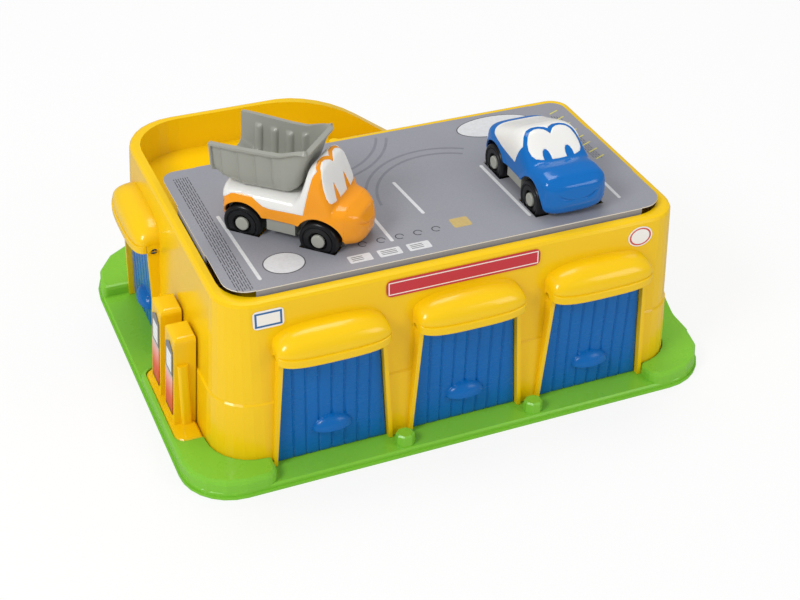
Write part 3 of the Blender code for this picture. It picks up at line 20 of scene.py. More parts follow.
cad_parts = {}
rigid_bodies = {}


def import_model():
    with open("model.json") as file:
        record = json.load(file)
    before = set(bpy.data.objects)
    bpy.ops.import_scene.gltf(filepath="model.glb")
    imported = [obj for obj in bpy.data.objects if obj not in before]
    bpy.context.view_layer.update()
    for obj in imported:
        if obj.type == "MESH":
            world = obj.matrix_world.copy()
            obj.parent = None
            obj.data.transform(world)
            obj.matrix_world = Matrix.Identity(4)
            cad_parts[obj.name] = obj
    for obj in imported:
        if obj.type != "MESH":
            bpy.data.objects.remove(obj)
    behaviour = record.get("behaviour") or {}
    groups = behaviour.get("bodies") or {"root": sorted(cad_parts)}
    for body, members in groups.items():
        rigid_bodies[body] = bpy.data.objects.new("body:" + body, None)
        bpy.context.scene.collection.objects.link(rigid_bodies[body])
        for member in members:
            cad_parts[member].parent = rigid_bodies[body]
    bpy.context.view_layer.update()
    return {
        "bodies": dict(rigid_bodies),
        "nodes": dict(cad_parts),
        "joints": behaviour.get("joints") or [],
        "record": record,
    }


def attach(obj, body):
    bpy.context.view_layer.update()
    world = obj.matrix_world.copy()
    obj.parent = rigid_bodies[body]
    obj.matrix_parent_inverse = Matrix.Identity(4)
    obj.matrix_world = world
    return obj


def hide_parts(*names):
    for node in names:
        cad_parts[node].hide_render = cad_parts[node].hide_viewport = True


LOG = logging.getLogger("toy_garage")
MM = 0.001
Array = np.ndarray
Knots = tuple[tuple[float, float], ...]


def softened(knots: Knots, softness: float, count: int) -> Array:
    """Carry points evenly along a polyline whose corners are rounded.

    Each point is the weighted mean of the polyline over a stretch of twice the softness,
    with weights of a squared cosine. The ends are continued straight, so they stay put.

    Args:
        knots: corners of the polyline.
        softness: half the length of the stretch that is averaged.
        count: number of points.

    Returns:
        An array of count rows of (a, b).
    """
    corners = np.array(knots, dtype=float)
    first, last = corners[1] - corners[0], corners[-1] - corners[-2]
    first, last = first / np.linalg.norm(first), last / np.linalg.norm(last)
    corners = np.vstack([corners[0] - first * softness, corners, corners[-1] + last * softness])
    run = np.concatenate([[0.0], np.cumsum(np.linalg.norm(np.diff(corners, axis=0), axis=1))])
    run -= softness
    places = np.linspace(0.0, run[-1] - softness, count)
    spread = np.linspace(-1.0, 1.0, 25)
    weights = np.cos(spread * math.pi / 2) ** 2
    weights /= weights.sum()
    near = places[:, None] + spread[None, :] * softness
    return np.stack([np.interp(near, run, corners[:, k]) @ weights for k in (0, 1)], axis=1)


def smooth_step(value: Array) -> Array:
    """Rise from 0 to 1 with flat ends while the value goes from 0 to 1."""
    held = np.clip(value, 0.0, 1.0)
    return held * held * (3.0 - 2.0 * held)


def cap(distance: Array, reach: float, fullness: float) -> Array:
    """Fall from 1 to 0 as a superellipse over the last stretch before an end.

    Args:
        distance: how far each place is from the end.
        reach: length of the stretch that is rounded.
        fullness: exponent of the superellipse.

    Returns:
        The share of the full width that is left.
    """
    share = np.clip(1.0 - distance / reach, 0.0, 1.0)
    return (1.0 - share ** fullness) ** (1.0 / fullness)


def signed_distance(points: Array, outline: Array) -> Array:
    """Measure how deep points lie inside a closed outline, negative outside it.

    The distance is to the nearest side of the outline, and its sign comes from how many
    sides a ray from the point crosses.

    Args:
        points: array whose last axis is (a, b).
        outline: corners of the outline, n rows of (a, b).

    Returns:
        An array of the points' shape without its last axis.
    """
    flat = points.reshape(-1, 1, 2)
    start, end = outline[None, :, :], np.roll(outline, -1, axis=0)[None, :, :]
    side = end - start
    along = ((flat - start) * side).sum(-1) / np.maximum((side * side).sum(-1), 1e-12)
    nearest = start + np.clip(along, 0.0, 1.0)[..., None] * side
    distance = np.linalg.norm(flat - nearest, axis=-1).min(axis=1)
    above = (start[..., 1] > flat[..., 1]) != (end[..., 1] > flat[..., 1])
    rise = np.where(np.abs(side[..., 1]) < 1e-12, 1e-12, side[..., 1])
    cross = start[..., 0] + (flat[..., 1] - start[..., 1]) / rise * side[..., 0]
    inside = (above & (flat[..., 0] < cross)).sum(axis=1) % 2 == 1
    return np.where(inside, distance, -distance).reshape(points.shape[:-1])


def mirrored(knots: Knots) -> Array:
    """Complete a half outline, given by its right-hand corners, with its mirror image."""
    half = np.array(knots, dtype=float)
    return np.vstack([half, half[::-1] * (-1.0, 1.0)])


def surface_normals(grid: Array) -> Array:
    """Return unit normals of a grid of points, from the cross product of its two slopes."""
    normal = np.cross(np.gradient(grid, axis=0), np.gradient(grid, axis=1))
    length = np.linalg.norm(normal, axis=-1, keepdims=True)
    return normal / np.maximum(length, 1e-9)


def rounded_outline(length: float, depth: float, radius: float, steps: int) -> Array:
    """Return the outline of a rectangle whose four corners are quarter circles.

    Args:
        length: size along x.
        depth: size along y.
        radius: radius of the corners.
        steps: points in each corner, less one.

    Returns:
        Points of the outline about its centre.
    """
    parts = []
    for number, sign in enumerate([(-1, -1), (1, -1), (1, 1), (-1, 1)]):
        turn = math.pi + number * math.pi / 2 + np.linspace(0.0, math.pi / 2, steps + 1)
        centre = np.array(sign) * (length / 2 - radius, depth / 2 - radius)
        parts.append(centre + radius * np.stack([np.cos(turn), np.sin(turn)], axis=1))
    return np.vstack(parts)


class Patchwork:
    """Grids of points in millimetres, gathered into one mesh."""

    def __init__(self) -> None:
        """Start with no grids."""
        self.points: list[Array] = []
        self.faces: list[Array] = []
        self.count = 0

    def add(self, grid: Array, wrap_rows: bool = False, wrap_columns: bool = False,
            flip: bool = False, keep: Array | None = None) -> "Patchwork":
        """Add a grid of points as quads.

        Args:
            grid: rows by columns by (x, y, z).
            wrap_rows: join the last row to the first.
            wrap_columns: join the last column to the first.
            flip: turn the faces round.
            keep: marks of the points; a face with no marked corner is left out.

        Returns:
            This patchwork.
        """
        rows, columns = grid.shape[:2]
        index = np.arange(rows * columns).reshape(rows, columns)
        if wrap_rows:
            index = np.vstack([index, index[:1]])
        if wrap_columns:
            index = np.hstack([index, index[:, :1]])
        quads = np.stack([index[:-1, :-1], index[1:, :-1], index[1:, 1:], index[:-1, 1:]],
                         axis=-1).reshape(-1, 4)
        if keep is not None:
            quads = quads[keep.reshape(-1)[quads].any(axis=1)]
        if flip:
            quads = quads[:, ::-1]
        self.points.append(grid.reshape(-1, 3))
        self.faces.append(quads + self.count)
        self.count += rows * columns
        return self

    def fan(self, ring: Array, flip: bool = False) -> "Patchwork":
        """Close a ring of points with a fan about its middle, as a grid of two rows."""
        middle = np.broadcast_to(ring.mean(axis=0), ring.shape)
        return self.add(np.stack([ring, middle]), wrap_columns=True, flip=flip)

    def build(self, name: str, sharp: float = 40.0, closed: bool = True) -> bpy.types.Object:
        """Weld the grids and make an object of them.

        Args:
            name: name of the object.
            sharp: edges that turn more than this many degrees stay sharp.
            closed: the grids close a solid, so its faces can be turned outwards.

        Returns:
            The linked object.
        """
        mesh = bpy.data.meshes.new(name)
        points = np.vstack(self.points) * MM
        mesh.from_pydata(points.tolist(), [], np.vstack(self.faces).tolist())
        work = bmesh.new()
        work.from_mesh(mesh)
        bmesh.ops.remove_doubles(work, verts=work.verts, dist=2e-6)
        bmesh.ops.dissolve_degenerate(work, edges=work.edges, dist=1e-7)
        loose = [vert for vert in work.verts if not vert.link_faces]
        bmesh.ops.delete(work, geom=loose, context="VERTS")
        if closed:
            bmesh.ops.recalc_face_normals(work, faces=work.faces)
        work.to_mesh(mesh)
        work.free()
        mesh.shade_smooth()
        mesh.set_sharp_from_angle(angle=math.radians(sharp))
        made = bpy.data.objects.new(name, mesh)
        bpy.context.scene.collection.objects.link(made)
        return made


def thicken(piece: bpy.types.Object, wall: float) -> None:
    """Give an open sheet a wall inwards, square to its faces."""
    modifier = piece.modifiers.new("wall", "SOLIDIFY")
    modifier.thickness = wall * MM
    modifier.offset = -1.0
    modifier.use_even_offset = False
    modifier.use_rim = True


def linear(code: str) -> tuple[float, float, float, float]:
    """Turn a screen colour such as F5C813 into linear red, green, blue and alpha."""
    parts = [int(code[k:k + 2], 16) / 255 for k in (0, 2, 4)]
    lit = [c / 12.92 if c <= 0.04045 else ((c + 0.055) / 1.055) ** 2.4 for c in parts]
    return (*lit, 1.0)


def scaled(tone: tuple[float, ...], share: float) -> tuple[float, float, float, float]:
    """Return a linear colour made darker or lighter by a share, up to white."""
    return (*(min(c * share, 1.0) for c in tone[:3]), 1.0)


class Nodes:
    """A short way to wire a material's nodes."""

    def __init__(self, name: str) -> None:
        """Start a material with its Principled shader and its Object coordinates."""
        self.material = bpy.data.materials.new(name)
        self.material.use_nodes = True
        self.tree = self.material.node_tree
        self.shader = self.tree.nodes["Principled BSDF"]
        self.place = self.tree.nodes.new("ShaderNodeTexCoord").outputs["Object"]

    def add(self, kind: str, **settings: object) -> bpy.types.Node:
        """Add a node and set its properties."""
        node = self.tree.nodes.new(kind)
        for key, value in settings.items():
            setattr(node, key, value)
        return node

    def link(self, source: bpy.types.NodeSocket, target: bpy.types.NodeSocket) -> None:
        """Join two sockets."""
        self.tree.links.new(source, target)

    def feed(self, target: bpy.types.NodeSocket, value: object) -> None:
        """Set a socket to a number or join another socket to it."""
        if isinstance(value, bpy.types.NodeSocket):
            self.link(value, target)
        else:
            target.default_value = value

    def math(self, operation: str, first: object, second: object = 0.0) -> bpy.types.NodeSocket:
        """Work on numbers and return the result's socket."""
        node = self.add("ShaderNodeMath", operation=operation)
        for socket, value in zip(node.inputs, (first, second)):
            self.feed(socket, value)
        return node.outputs[0]

    def off(self, value: bpy.types.NodeSocket, middle: float) -> bpy.types.NodeSocket:
        """Return how far a coordinate is from a place in millimetres."""
        return self.math("ABSOLUTE", self.math("SUBTRACT", value, middle * MM))

    def noise(self, scale: float, detail: float = 2.0,
              stretch: tuple[float, float, float] | None = None) -> bpy.types.NodeSocket:
        """Return noise on Object coordinates, with its scale in waves per metre."""
        place = self.place
        if stretch:
            mapping = self.add("ShaderNodeMapping")
            mapping.inputs["Scale"].default_value = stretch
            self.link(place, mapping.inputs["Vector"])
            place = mapping.outputs[0]
        node = self.add("ShaderNodeTexNoise")
        node.inputs["Scale"].default_value = scale
        node.inputs["Detail"].default_value = detail
        self.link(place, node.inputs["Vector"])
        return node.outputs["Fac"]

    def spread(self, source: bpy.types.NodeSocket, low: float, high: float) -> bpy.types.NodeSocket:
        """Map the middle part of a noise to low..high."""
        node = self.add("ShaderNodeMapRange")
        self.link(source, node.inputs["Value"])
        limits = {"From Min": 0.3, "From Max": 0.7, "To Min": low, "To Max": high}
        for key, value in limits.items():
            node.inputs[key].default_value = value
        return node.outputs["Result"]

    def mix(self, share: object, first: object, second: object) -> bpy.types.NodeSocket:
        """Mix two colours."""
        node = self.add("ShaderNodeMix", data_type="RGBA")
        for number, value in ((0, share), (6, first), (7, second)):
            self.feed(node.inputs[number], value)
        return node.outputs[2]

    def bump(self, height: bpy.types.NodeSocket, depth: float,
             before: bpy.types.NodeSocket | None = None) -> bpy.types.NodeSocket:
        """Raise a pattern by a depth in millimetres, on top of an earlier bump."""
        node = self.add("ShaderNodeBump")
        node.inputs["Strength"].default_value = 1.0
        node.inputs["Distance"].default_value = depth * MM
        self.link(height, node.inputs["Height"])
        if before:
            self.link(before, node.inputs["Normal"])
        return node.outputs[0]

    def axes(self) -> tuple[bpy.types.NodeSocket, ...]:
        """Return the x, y and z of Object coordinates."""
        node = self.add("ShaderNodeSeparateXYZ")
        self.link(self.place, node.inputs[0])
        return tuple(node.outputs)

    def surface(self, tone: bpy.types.NodeSocket, rub: bpy.types.NodeSocket, low: float,
                high: float, normal: bpy.types.NodeSocket) -> bpy.types.Material:
        """Feed the shader and return the material.

        Args:
            tone: its colour.
            rub: pattern of its roughness.
            low: roughness where the pattern is weak.
            high: roughness where the pattern is strong.
            normal: its bump.

        Returns:
            The material.
        """
        self.link(tone, self.shader.inputs["Base Color"])
        self.link(self.spread(rub, low, high), self.shader.inputs["Roughness"])
        self.link(normal, self.shader.inputs["Normal"])
        return self.material


@dataclass(frozen=True)
class MouldedPlastic:
    """Injection-moulded plastic: faint clouds of colour, fine grain and light handling wear."""

    name: str
    colour: str
    roughness: float
    clouds: float = 0.03
    grain: float = 0.004
    coat: float = 0.12
    glow: float = 0.0
    gloss: float = 0.3

    def build(self) -> bpy.types.Material:
        """Return the material."""
        nodes = Nodes(self.name)
        shader = nodes.shader
        tone = linear(self.colour)
        clouds = nodes.mix(nodes.spread(nodes.noise(14.0, 3.0), 0.0, 1.0),
                           scaled(tone, 1.0 - self.clouds), scaled(tone, 1.0 + self.clouds * 0.6))
        shader.inputs["Coat Weight"].default_value = self.coat
        shader.inputs["Coat Roughness"].default_value = 0.08
        shader.inputs["Specular IOR Level"].default_value = self.gloss
        if self.glow:
            shader.inputs["Subsurface Weight"].default_value = self.glow
            shader.inputs["Subsurface Radius"].default_value = (1.0, 0.6, 0.1)
            shader.inputs["Subsurface Scale"].default_value = 2.0 * MM
        return nodes.surface(clouds, nodes.noise(60.0, 4.0, (1.0, 1.0, 3.0)),
                             self.roughness * 0.92, self.roughness * 1.12,
                             nodes.bump(nodes.noise(1400.0, 2.0), self.grain))


@dataclass(frozen=True)
class PrintedCard:
    """Grey printed board: fibres, paler patches, a faint sheen and a bare line at its edge."""

    name: str
    colour: str
    patches: str
    edge: str
    top: float
    cut_below: float = 0.6
    cut_half: float = 0.35

    def build(self) -> bpy.types.Material:
        """Return the material; a thin bare line runs round just below the top."""
        nodes = Nodes(self.name)
        tone = linear(self.colour)
        fibres = nodes.mix(nodes.spread(nodes.noise(900.0, 4.0), 0.0, 1.0), scaled(tone, 0.9), tone)
        patches = nodes.spread(nodes.noise(9.0, 3.0), 0.0, 0.5)
        print_tone = nodes.mix(patches, fibres, linear(self.patches))
        cut = nodes.math("LESS_THAN", nodes.off(nodes.axes()[2], self.top - self.cut_below),
                         self.cut_half * MM)
        wave = nodes.bump(nodes.noise(16.0, 1.0), 0.12)
        return nodes.surface(nodes.mix(cut, print_tone, linear(self.edge)), nodes.noise(40.0, 3.0),
                             0.42, 0.58, nodes.bump(nodes.noise(1800.0, 3.0), 0.01, wave))


@dataclass(frozen=True)
class Ink:
    """Matt ink or printed film, slightly uneven."""

    name: str
    colour: str
    roughness: float = 0.45

    def build(self) -> bpy.types.Material:
        """Return the material."""
        nodes = Nodes(self.name)
        tone = linear(self.colour)
        cover = nodes.spread(nodes.noise(450.0, 3.0), 0.0, 1.0)
        return nodes.surface(nodes.mix(cover, scaled(tone, 0.9), tone), nodes.noise(90.0),
                             self.roughness * 0.9, self.roughness * 1.1,
                             nodes.bump(nodes.noise(1600.0), 0.006))


@dataclass(frozen=True)
class PumpFilm:
    """The pumps' film: a pale dial with a grey frame above a blush that deepens to red."""

    name: str
    foot: float
    height: float
    middles: tuple[float, float]
    width: float
    frame: float = 2.4
    dial: float = 0.57
    window: tuple[float, float] = (0.6, 0.86)
    bar_turns: float = 88.0
    blush: tuple[tuple[float, str], ...] = (
        (0.0, "7E2A1C"), (0.07, "D8502A"), (0.22, "E8562B"), (0.36, "F08A72"), (0.5, "F2B4AC"),
        (0.56, "C9C4C0"))

    def build(self) -> bpy.types.Material:
        """Return the material, drawn by height and by distance from each pump's middle."""
        nodes = Nodes(self.name)
        _, across, height = nodes.axes()
        share = nodes.math("DIVIDE", nodes.math("SUBTRACT", height, self.foot * MM),
                           self.height * MM)
        ramp = nodes.add("ShaderNodeValToRGB")
        while len(ramp.color_ramp.elements) < len(self.blush):
            ramp.color_ramp.elements.new(0.5)
        for element, (where, code) in zip(ramp.color_ramp.elements, self.blush):
            element.position = where
            element.color = linear(code)
        nodes.link(share, ramp.inputs[0])
        aside = nodes.math("MINIMUM", *[nodes.off(across, middle) for middle in self.middles])
        dial = nodes.math("GREATER_THAN", share, self.dial)
        low, high = self.window
        tall = nodes.math("MULTIPLY", nodes.math("GREATER_THAN", share, low),
                          nodes.math("LESS_THAN", share, high))
        inner = nodes.math("MULTIPLY", tall,
                           nodes.math("LESS_THAN", aside, (self.width / 2 - self.frame) * MM))
        waves = nodes.math("SINE", nodes.math("MULTIPLY", share, self.bar_turns))
        bars = nodes.math("MULTIPLY", nodes.math("GREATER_THAN", waves, 0.93), 0.45)
        face = nodes.mix(bars, linear("F2F4F3"), linear("6F8E90"))
        framed = nodes.mix(inner, linear("7D8084"), face)
        return nodes.surface(nodes.mix(dial, ramp.outputs[0], framed), nodes.noise(90.0), 0.3, 0.42,
                             nodes.bump(nodes.noise(1200.0), 0.008))


@dataclass(frozen=True)
class KeylinedFilm:
    """Printed film with a line round it, just inside its edge: a bar or an oval."""

    name: str
    colour: str
    line: str
    centre: tuple[float, float]
    halves: tuple[float, float]
    line_at: float
    line_width: float
    is_oval: bool = False

    def build(self) -> bpy.types.Material:
        """Return the material, drawn by x and z on the front wall."""
        nodes = Nodes(self.name)
        x, _, z = nodes.axes()
        reach = [nodes.off(axis, middle) for axis, middle in zip((x, z), self.centre)]
        if self.is_oval:
            squares = [nodes.math("POWER", nodes.math("DIVIDE", part, half * MM), 2.0)
                       for part, half in zip(reach, self.halves)]
            share = nodes.math("SQRT", nodes.math("ADD", *squares))
            depth = nodes.math("MULTIPLY", nodes.math("SUBTRACT", 1.0, share),
                               min(self.halves) * MM)
        else:
            depth = nodes.math("MINIMUM", *[nodes.math("SUBTRACT", half * MM, part)
                                            for part, half in zip(reach, self.halves)])
        inside = nodes.math("GREATER_THAN", depth, self.line_at * MM)
        outside = nodes.math("LESS_THAN", depth, (self.line_at + self.line_width) * MM)
        tone = nodes.mix(nodes.math("MULTIPLY", inside, outside), linear(self.colour),
                         linear(self.line))
        return nodes.surface(tone, nodes.noise(90.0), 0.3, 0.38,
                             nodes.bump(nodes.noise(1600.0), 0.004))


class Finish(Enum):
    """The finishes of this toy."""

    YELLOW = MouldedPlastic("yellow_moulding", "F6C90A", 0.22, 0.02, 0.002, 0.2, 0.04, 0.4)
    GREEN = MouldedPlastic("green_moulding", "80C738", 0.28, 0.03, 0.004, 0.1, 0.04, 0.35)
    DOOR_BLUE = MouldedPlastic("door_blue_moulding", "0667B4", 0.26, 0.03, 0.001, 0.05)
    CAR_BLUE = MouldedPlastic("car_blue_moulding", "0A6ABA", 0.16, 0.02, 0.001, 0.3)
    ORANGE = MouldedPlastic("orange_moulding", "F49C1C", 0.16, 0.02, 0.001, 0.3, 0.04)
    WHITE = MouldedPlastic("white_moulding", "EBEAE6", 0.20, 0.02, 0.001, 0.2, 0.04)
    GREY = MouldedPlastic("grey_moulding", "9C9D94", 0.32, 0.04, 0.004, 0.1)
    HUB = MouldedPlastic("hub_moulding", "A8A99F", 0.36, 0.04, 0.004, 0.1)
    TYRE = MouldedPlastic("tyre_moulding", "131416", 0.34, 0.10, 0.004, 0.1)
    CARD = PrintedCard("printed_board", "94959D", "9A9BA3", "E9E6E0", 145.3)
    WHITE_INK = Ink("white_ink", "DADBDD")
    DARK_INK = Ink("dark_ink", "45464C")
    YELLOW_INK = Ink("yellow_ink", "D9CF62")
    SAND_INK = Ink("sand_ink", "C8AE6C")
    SHADE_INK = Ink("shade_ink", "83848D")
    RED_FILM = KeylinedFilm("red_film", "C8303C", "F3E9E2", (0.0, 129.5), (59.0, 6.5), 1.5, 0.8)
    CORNER_FILM = KeylinedFilm("corner_film", "F2EFE9", "2B6AA3", (-144.0, 127.5), (11.0, 7.0),
                               1.3, 1.5)
    OVAL_FILM = KeylinedFilm("oval_film", "F4F2EE", "CE4A3C", (141.0, 127.5), (10.0, 8.0),
                             0.9, 1.1, True)
    PUMP_FILM = PumpFilm("pump_film", 21.0, 60.0, (-76.0, -40.0), 17.0)

    def material(self) -> bpy.types.Material:
        """Return this finish's material, made once."""
        return bpy.data.materials.get(self.value.name) or self.value.build()


def dress(piece: bpy.types.Object, finish: Finish) -> None:
    """Give every slot of a piece one finish."""
    piece.data.materials.clear()
    piece.data.materials.append(finish.material())


def place_piece(piece: bpy.types.Object, finish: Finish, body: str, slot: str,
                *nodes: str) -> bpy.types.Object:
    """Dress a new piece, let it ride on its body and hide the CAD nodes that it replaces.

    Args:
        piece: the new object.
        finish: its finish.
        body: the body that it rides on.
        slot: the record's material slot; not used.
        nodes: the CAD nodes that it replaces.

    Returns:
        The piece.
    """
    dress(piece, finish)
    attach(piece, body)
    if nodes:
        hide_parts(*nodes)
    LOG.info("%s on %s: %d faces", piece.name, body, len(piece.data.polygons))
    return piece


@dataclass
class Place:
    """Where a vehicle stands on the card."""

    x: float
    y: float
    heading: float
    z: float = 137.6

    def carry(self, points: Array) -> Array:
        """Turn points of the vehicle's frame by its heading and move them to its place."""
        turn = math.radians(self.heading)
        x = points[..., 0] * math.cos(turn) - points[..., 1] * math.sin(turn) + self.x
        y = points[..., 0] * math.sin(turn) + points[..., 1] * math.cos(turn) + self.y
        return np.stack([x, y, points[..., 2] + self.z], axis=-1)


@dataclass
class Hull:
    """A vehicle's outer form: a superellipse carried along the line over its roof.

    At each place of the roof line the section's upper half rises from the belt to the line,
    and its lower half falls from the belt to the floor. Its width closes in towards both
    ends as a superellipse in plan.
    """

    roof: Knots
    softness: float
    half_width: float
    belt: float
    floor: float
    nose_reach: float
    tail_reach: float
    plan_fullness: float
    section_fullness: float
    lower_fullness: float = 3.5
    floor_reach: float = 8.0

    def line(self, count: int) -> Array:
        """Return the roof line as count rows of (x, z)."""
        return softened(self.roof, self.softness, count)

    def points(self, x: Array, top: Array, angle: Array) -> Array:
        """Place points on the hull.

        The section in polar form: across = sin a / r and up = cos a / r with
        r = (|sin a|^n + |cos a|^n)^(1/n), stretched to the half width and to the height.

        Args:
            x: places along the vehicle.
            top: heights of the roof line there.
            angle: angles from the top, 90 degrees at the belt and 180 under the floor.

        Returns:
            Points of the broadcast shape with (x, y, z) as the last axis.
        """
        tail, nose = self.roof[0][0], self.roof[-1][0]
        width = self.half_width * cap(nose - x, self.nose_reach, self.plan_fullness)
        width = width * cap(x - tail, self.tail_reach, self.plan_fullness)
        lift = cap(nose - x, self.floor_reach, 2.2) * cap(x - tail, self.floor_reach, 2.2)
        sine, cosine = np.sin(angle), np.cos(angle)
        full = np.where(cosine >= 0.0, self.section_fullness, self.lower_fullness)
        radius = (np.abs(sine) ** full + np.abs(cosine) ** full) ** (1.0 / full)
        reach = np.where(cosine >= 0.0, np.maximum(top - self.belt, 0.0),
                         (self.belt - self.floor) * lift)
        x, y, z = np.broadcast_arrays(x, width * sine / radius,
                                      self.belt + reach * cosine / radius)
        return np.stack([x, y, z], axis=-1)

    def angle_at(self, top: Array, height: Array) -> Array:
        """Return the angle at which the section passes a height."""
        up = np.where(height >= self.belt,
                      (height - self.belt) / np.maximum(top - self.belt, 0.5),
                      (height - self.belt) / (self.belt - self.floor))
        up = np.clip(up, -1.0, 1.0)
        full = np.where(up >= 0.0, self.section_fullness, self.lower_fullness)
        return np.arctan2((1.0 - np.abs(up) ** full) ** (1.0 / full), up)


@dataclass
class Wheel:
    """A black wheel with a rounded tread, a groove ring on its face and a recessed hub."""

    radius: float = 14.5
    width: float = 12.0
    bore: float = 2.05
    groove_radius: float = 11.2
    hub_recess: float = 6.3
    segments: int = 64

    def profile(self) -> Array:
        """Return the closed (radius, across) section; the outer face is at +across."""
        half, soft = self.width / 2, 2.4
        turn = np.linspace(0.0, math.pi / 2, 7)
        tread_out = np.stack([self.radius - soft + soft * np.sin(turn),
                              half - soft + soft * np.cos(turn)], axis=1)
        tread_in = np.stack([self.radius - soft + soft * np.cos(turn),
                             -half + soft - soft * np.sin(turn)], axis=1)
        groove = self.groove_radius
        face = np.array([(self.bore, half - 3.2), (self.hub_recess - 0.6, half - 3.2),
                         (self.hub_recess, half - 2.9), (self.hub_recess + 0.3, half - 1.2),
                         (self.hub_recess + 0.9, half - 0.55), (groove - 1.5, half - 0.45),
                         (groove - 0.7, half - 0.5), (groove - 0.35, half - 1.0),
                         (groove + 0.05, half - 1.0), (groove + 0.4, half - 0.3),
                         (groove + 0.8, half - 0.05)])
        back = np.array([(self.bore, -half)])
        return np.vstack([face, tread_out, tread_in, back])

    def hub_profile(self, end: float) -> Array:
        """Return the open (radius, across) section of an axle with a domed head at each end."""
        turn = np.linspace(0.0, math.pi / 2, 7)
        head = np.stack([4.1 + 0.9 * np.sin(turn), end - 0.9 + 0.9 * np.cos(turn)], axis=1)
        half = np.vstack([[(0.0, end - 0.15), (2.4, end - 0.1)], head,
                          [(5.0, end - 2.0), (1.75, end - 2.0)]])
        return np.vstack([half, half[::-1] * (1.0, -1.0)])

    def turned(self, profile: Array, along: float, aside: float, side: float) -> Array:
        """Turn a section about an axle: x = r cos t, z = r sin t for each point and turn t.

        Args:
            profile: rows of (radius, across).
            along: place of the axle.
            aside: place of the wheel's middle across the vehicle.
            side: 1 when the outer face looks left, -1 when it looks right.

        Returns:
            A grid of points, one row for each point of the section.
        """
        turn = np.linspace(0.0, 2 * math.pi, self.segments, endpoint=False)
        radius, across = profile[:, :1], profile[:, 1:]
        return np.stack(np.broadcast_arrays(along + radius * np.cos(turn), aside + side * across,
                                            self.radius + radius * np.sin(turn)), axis=-1)


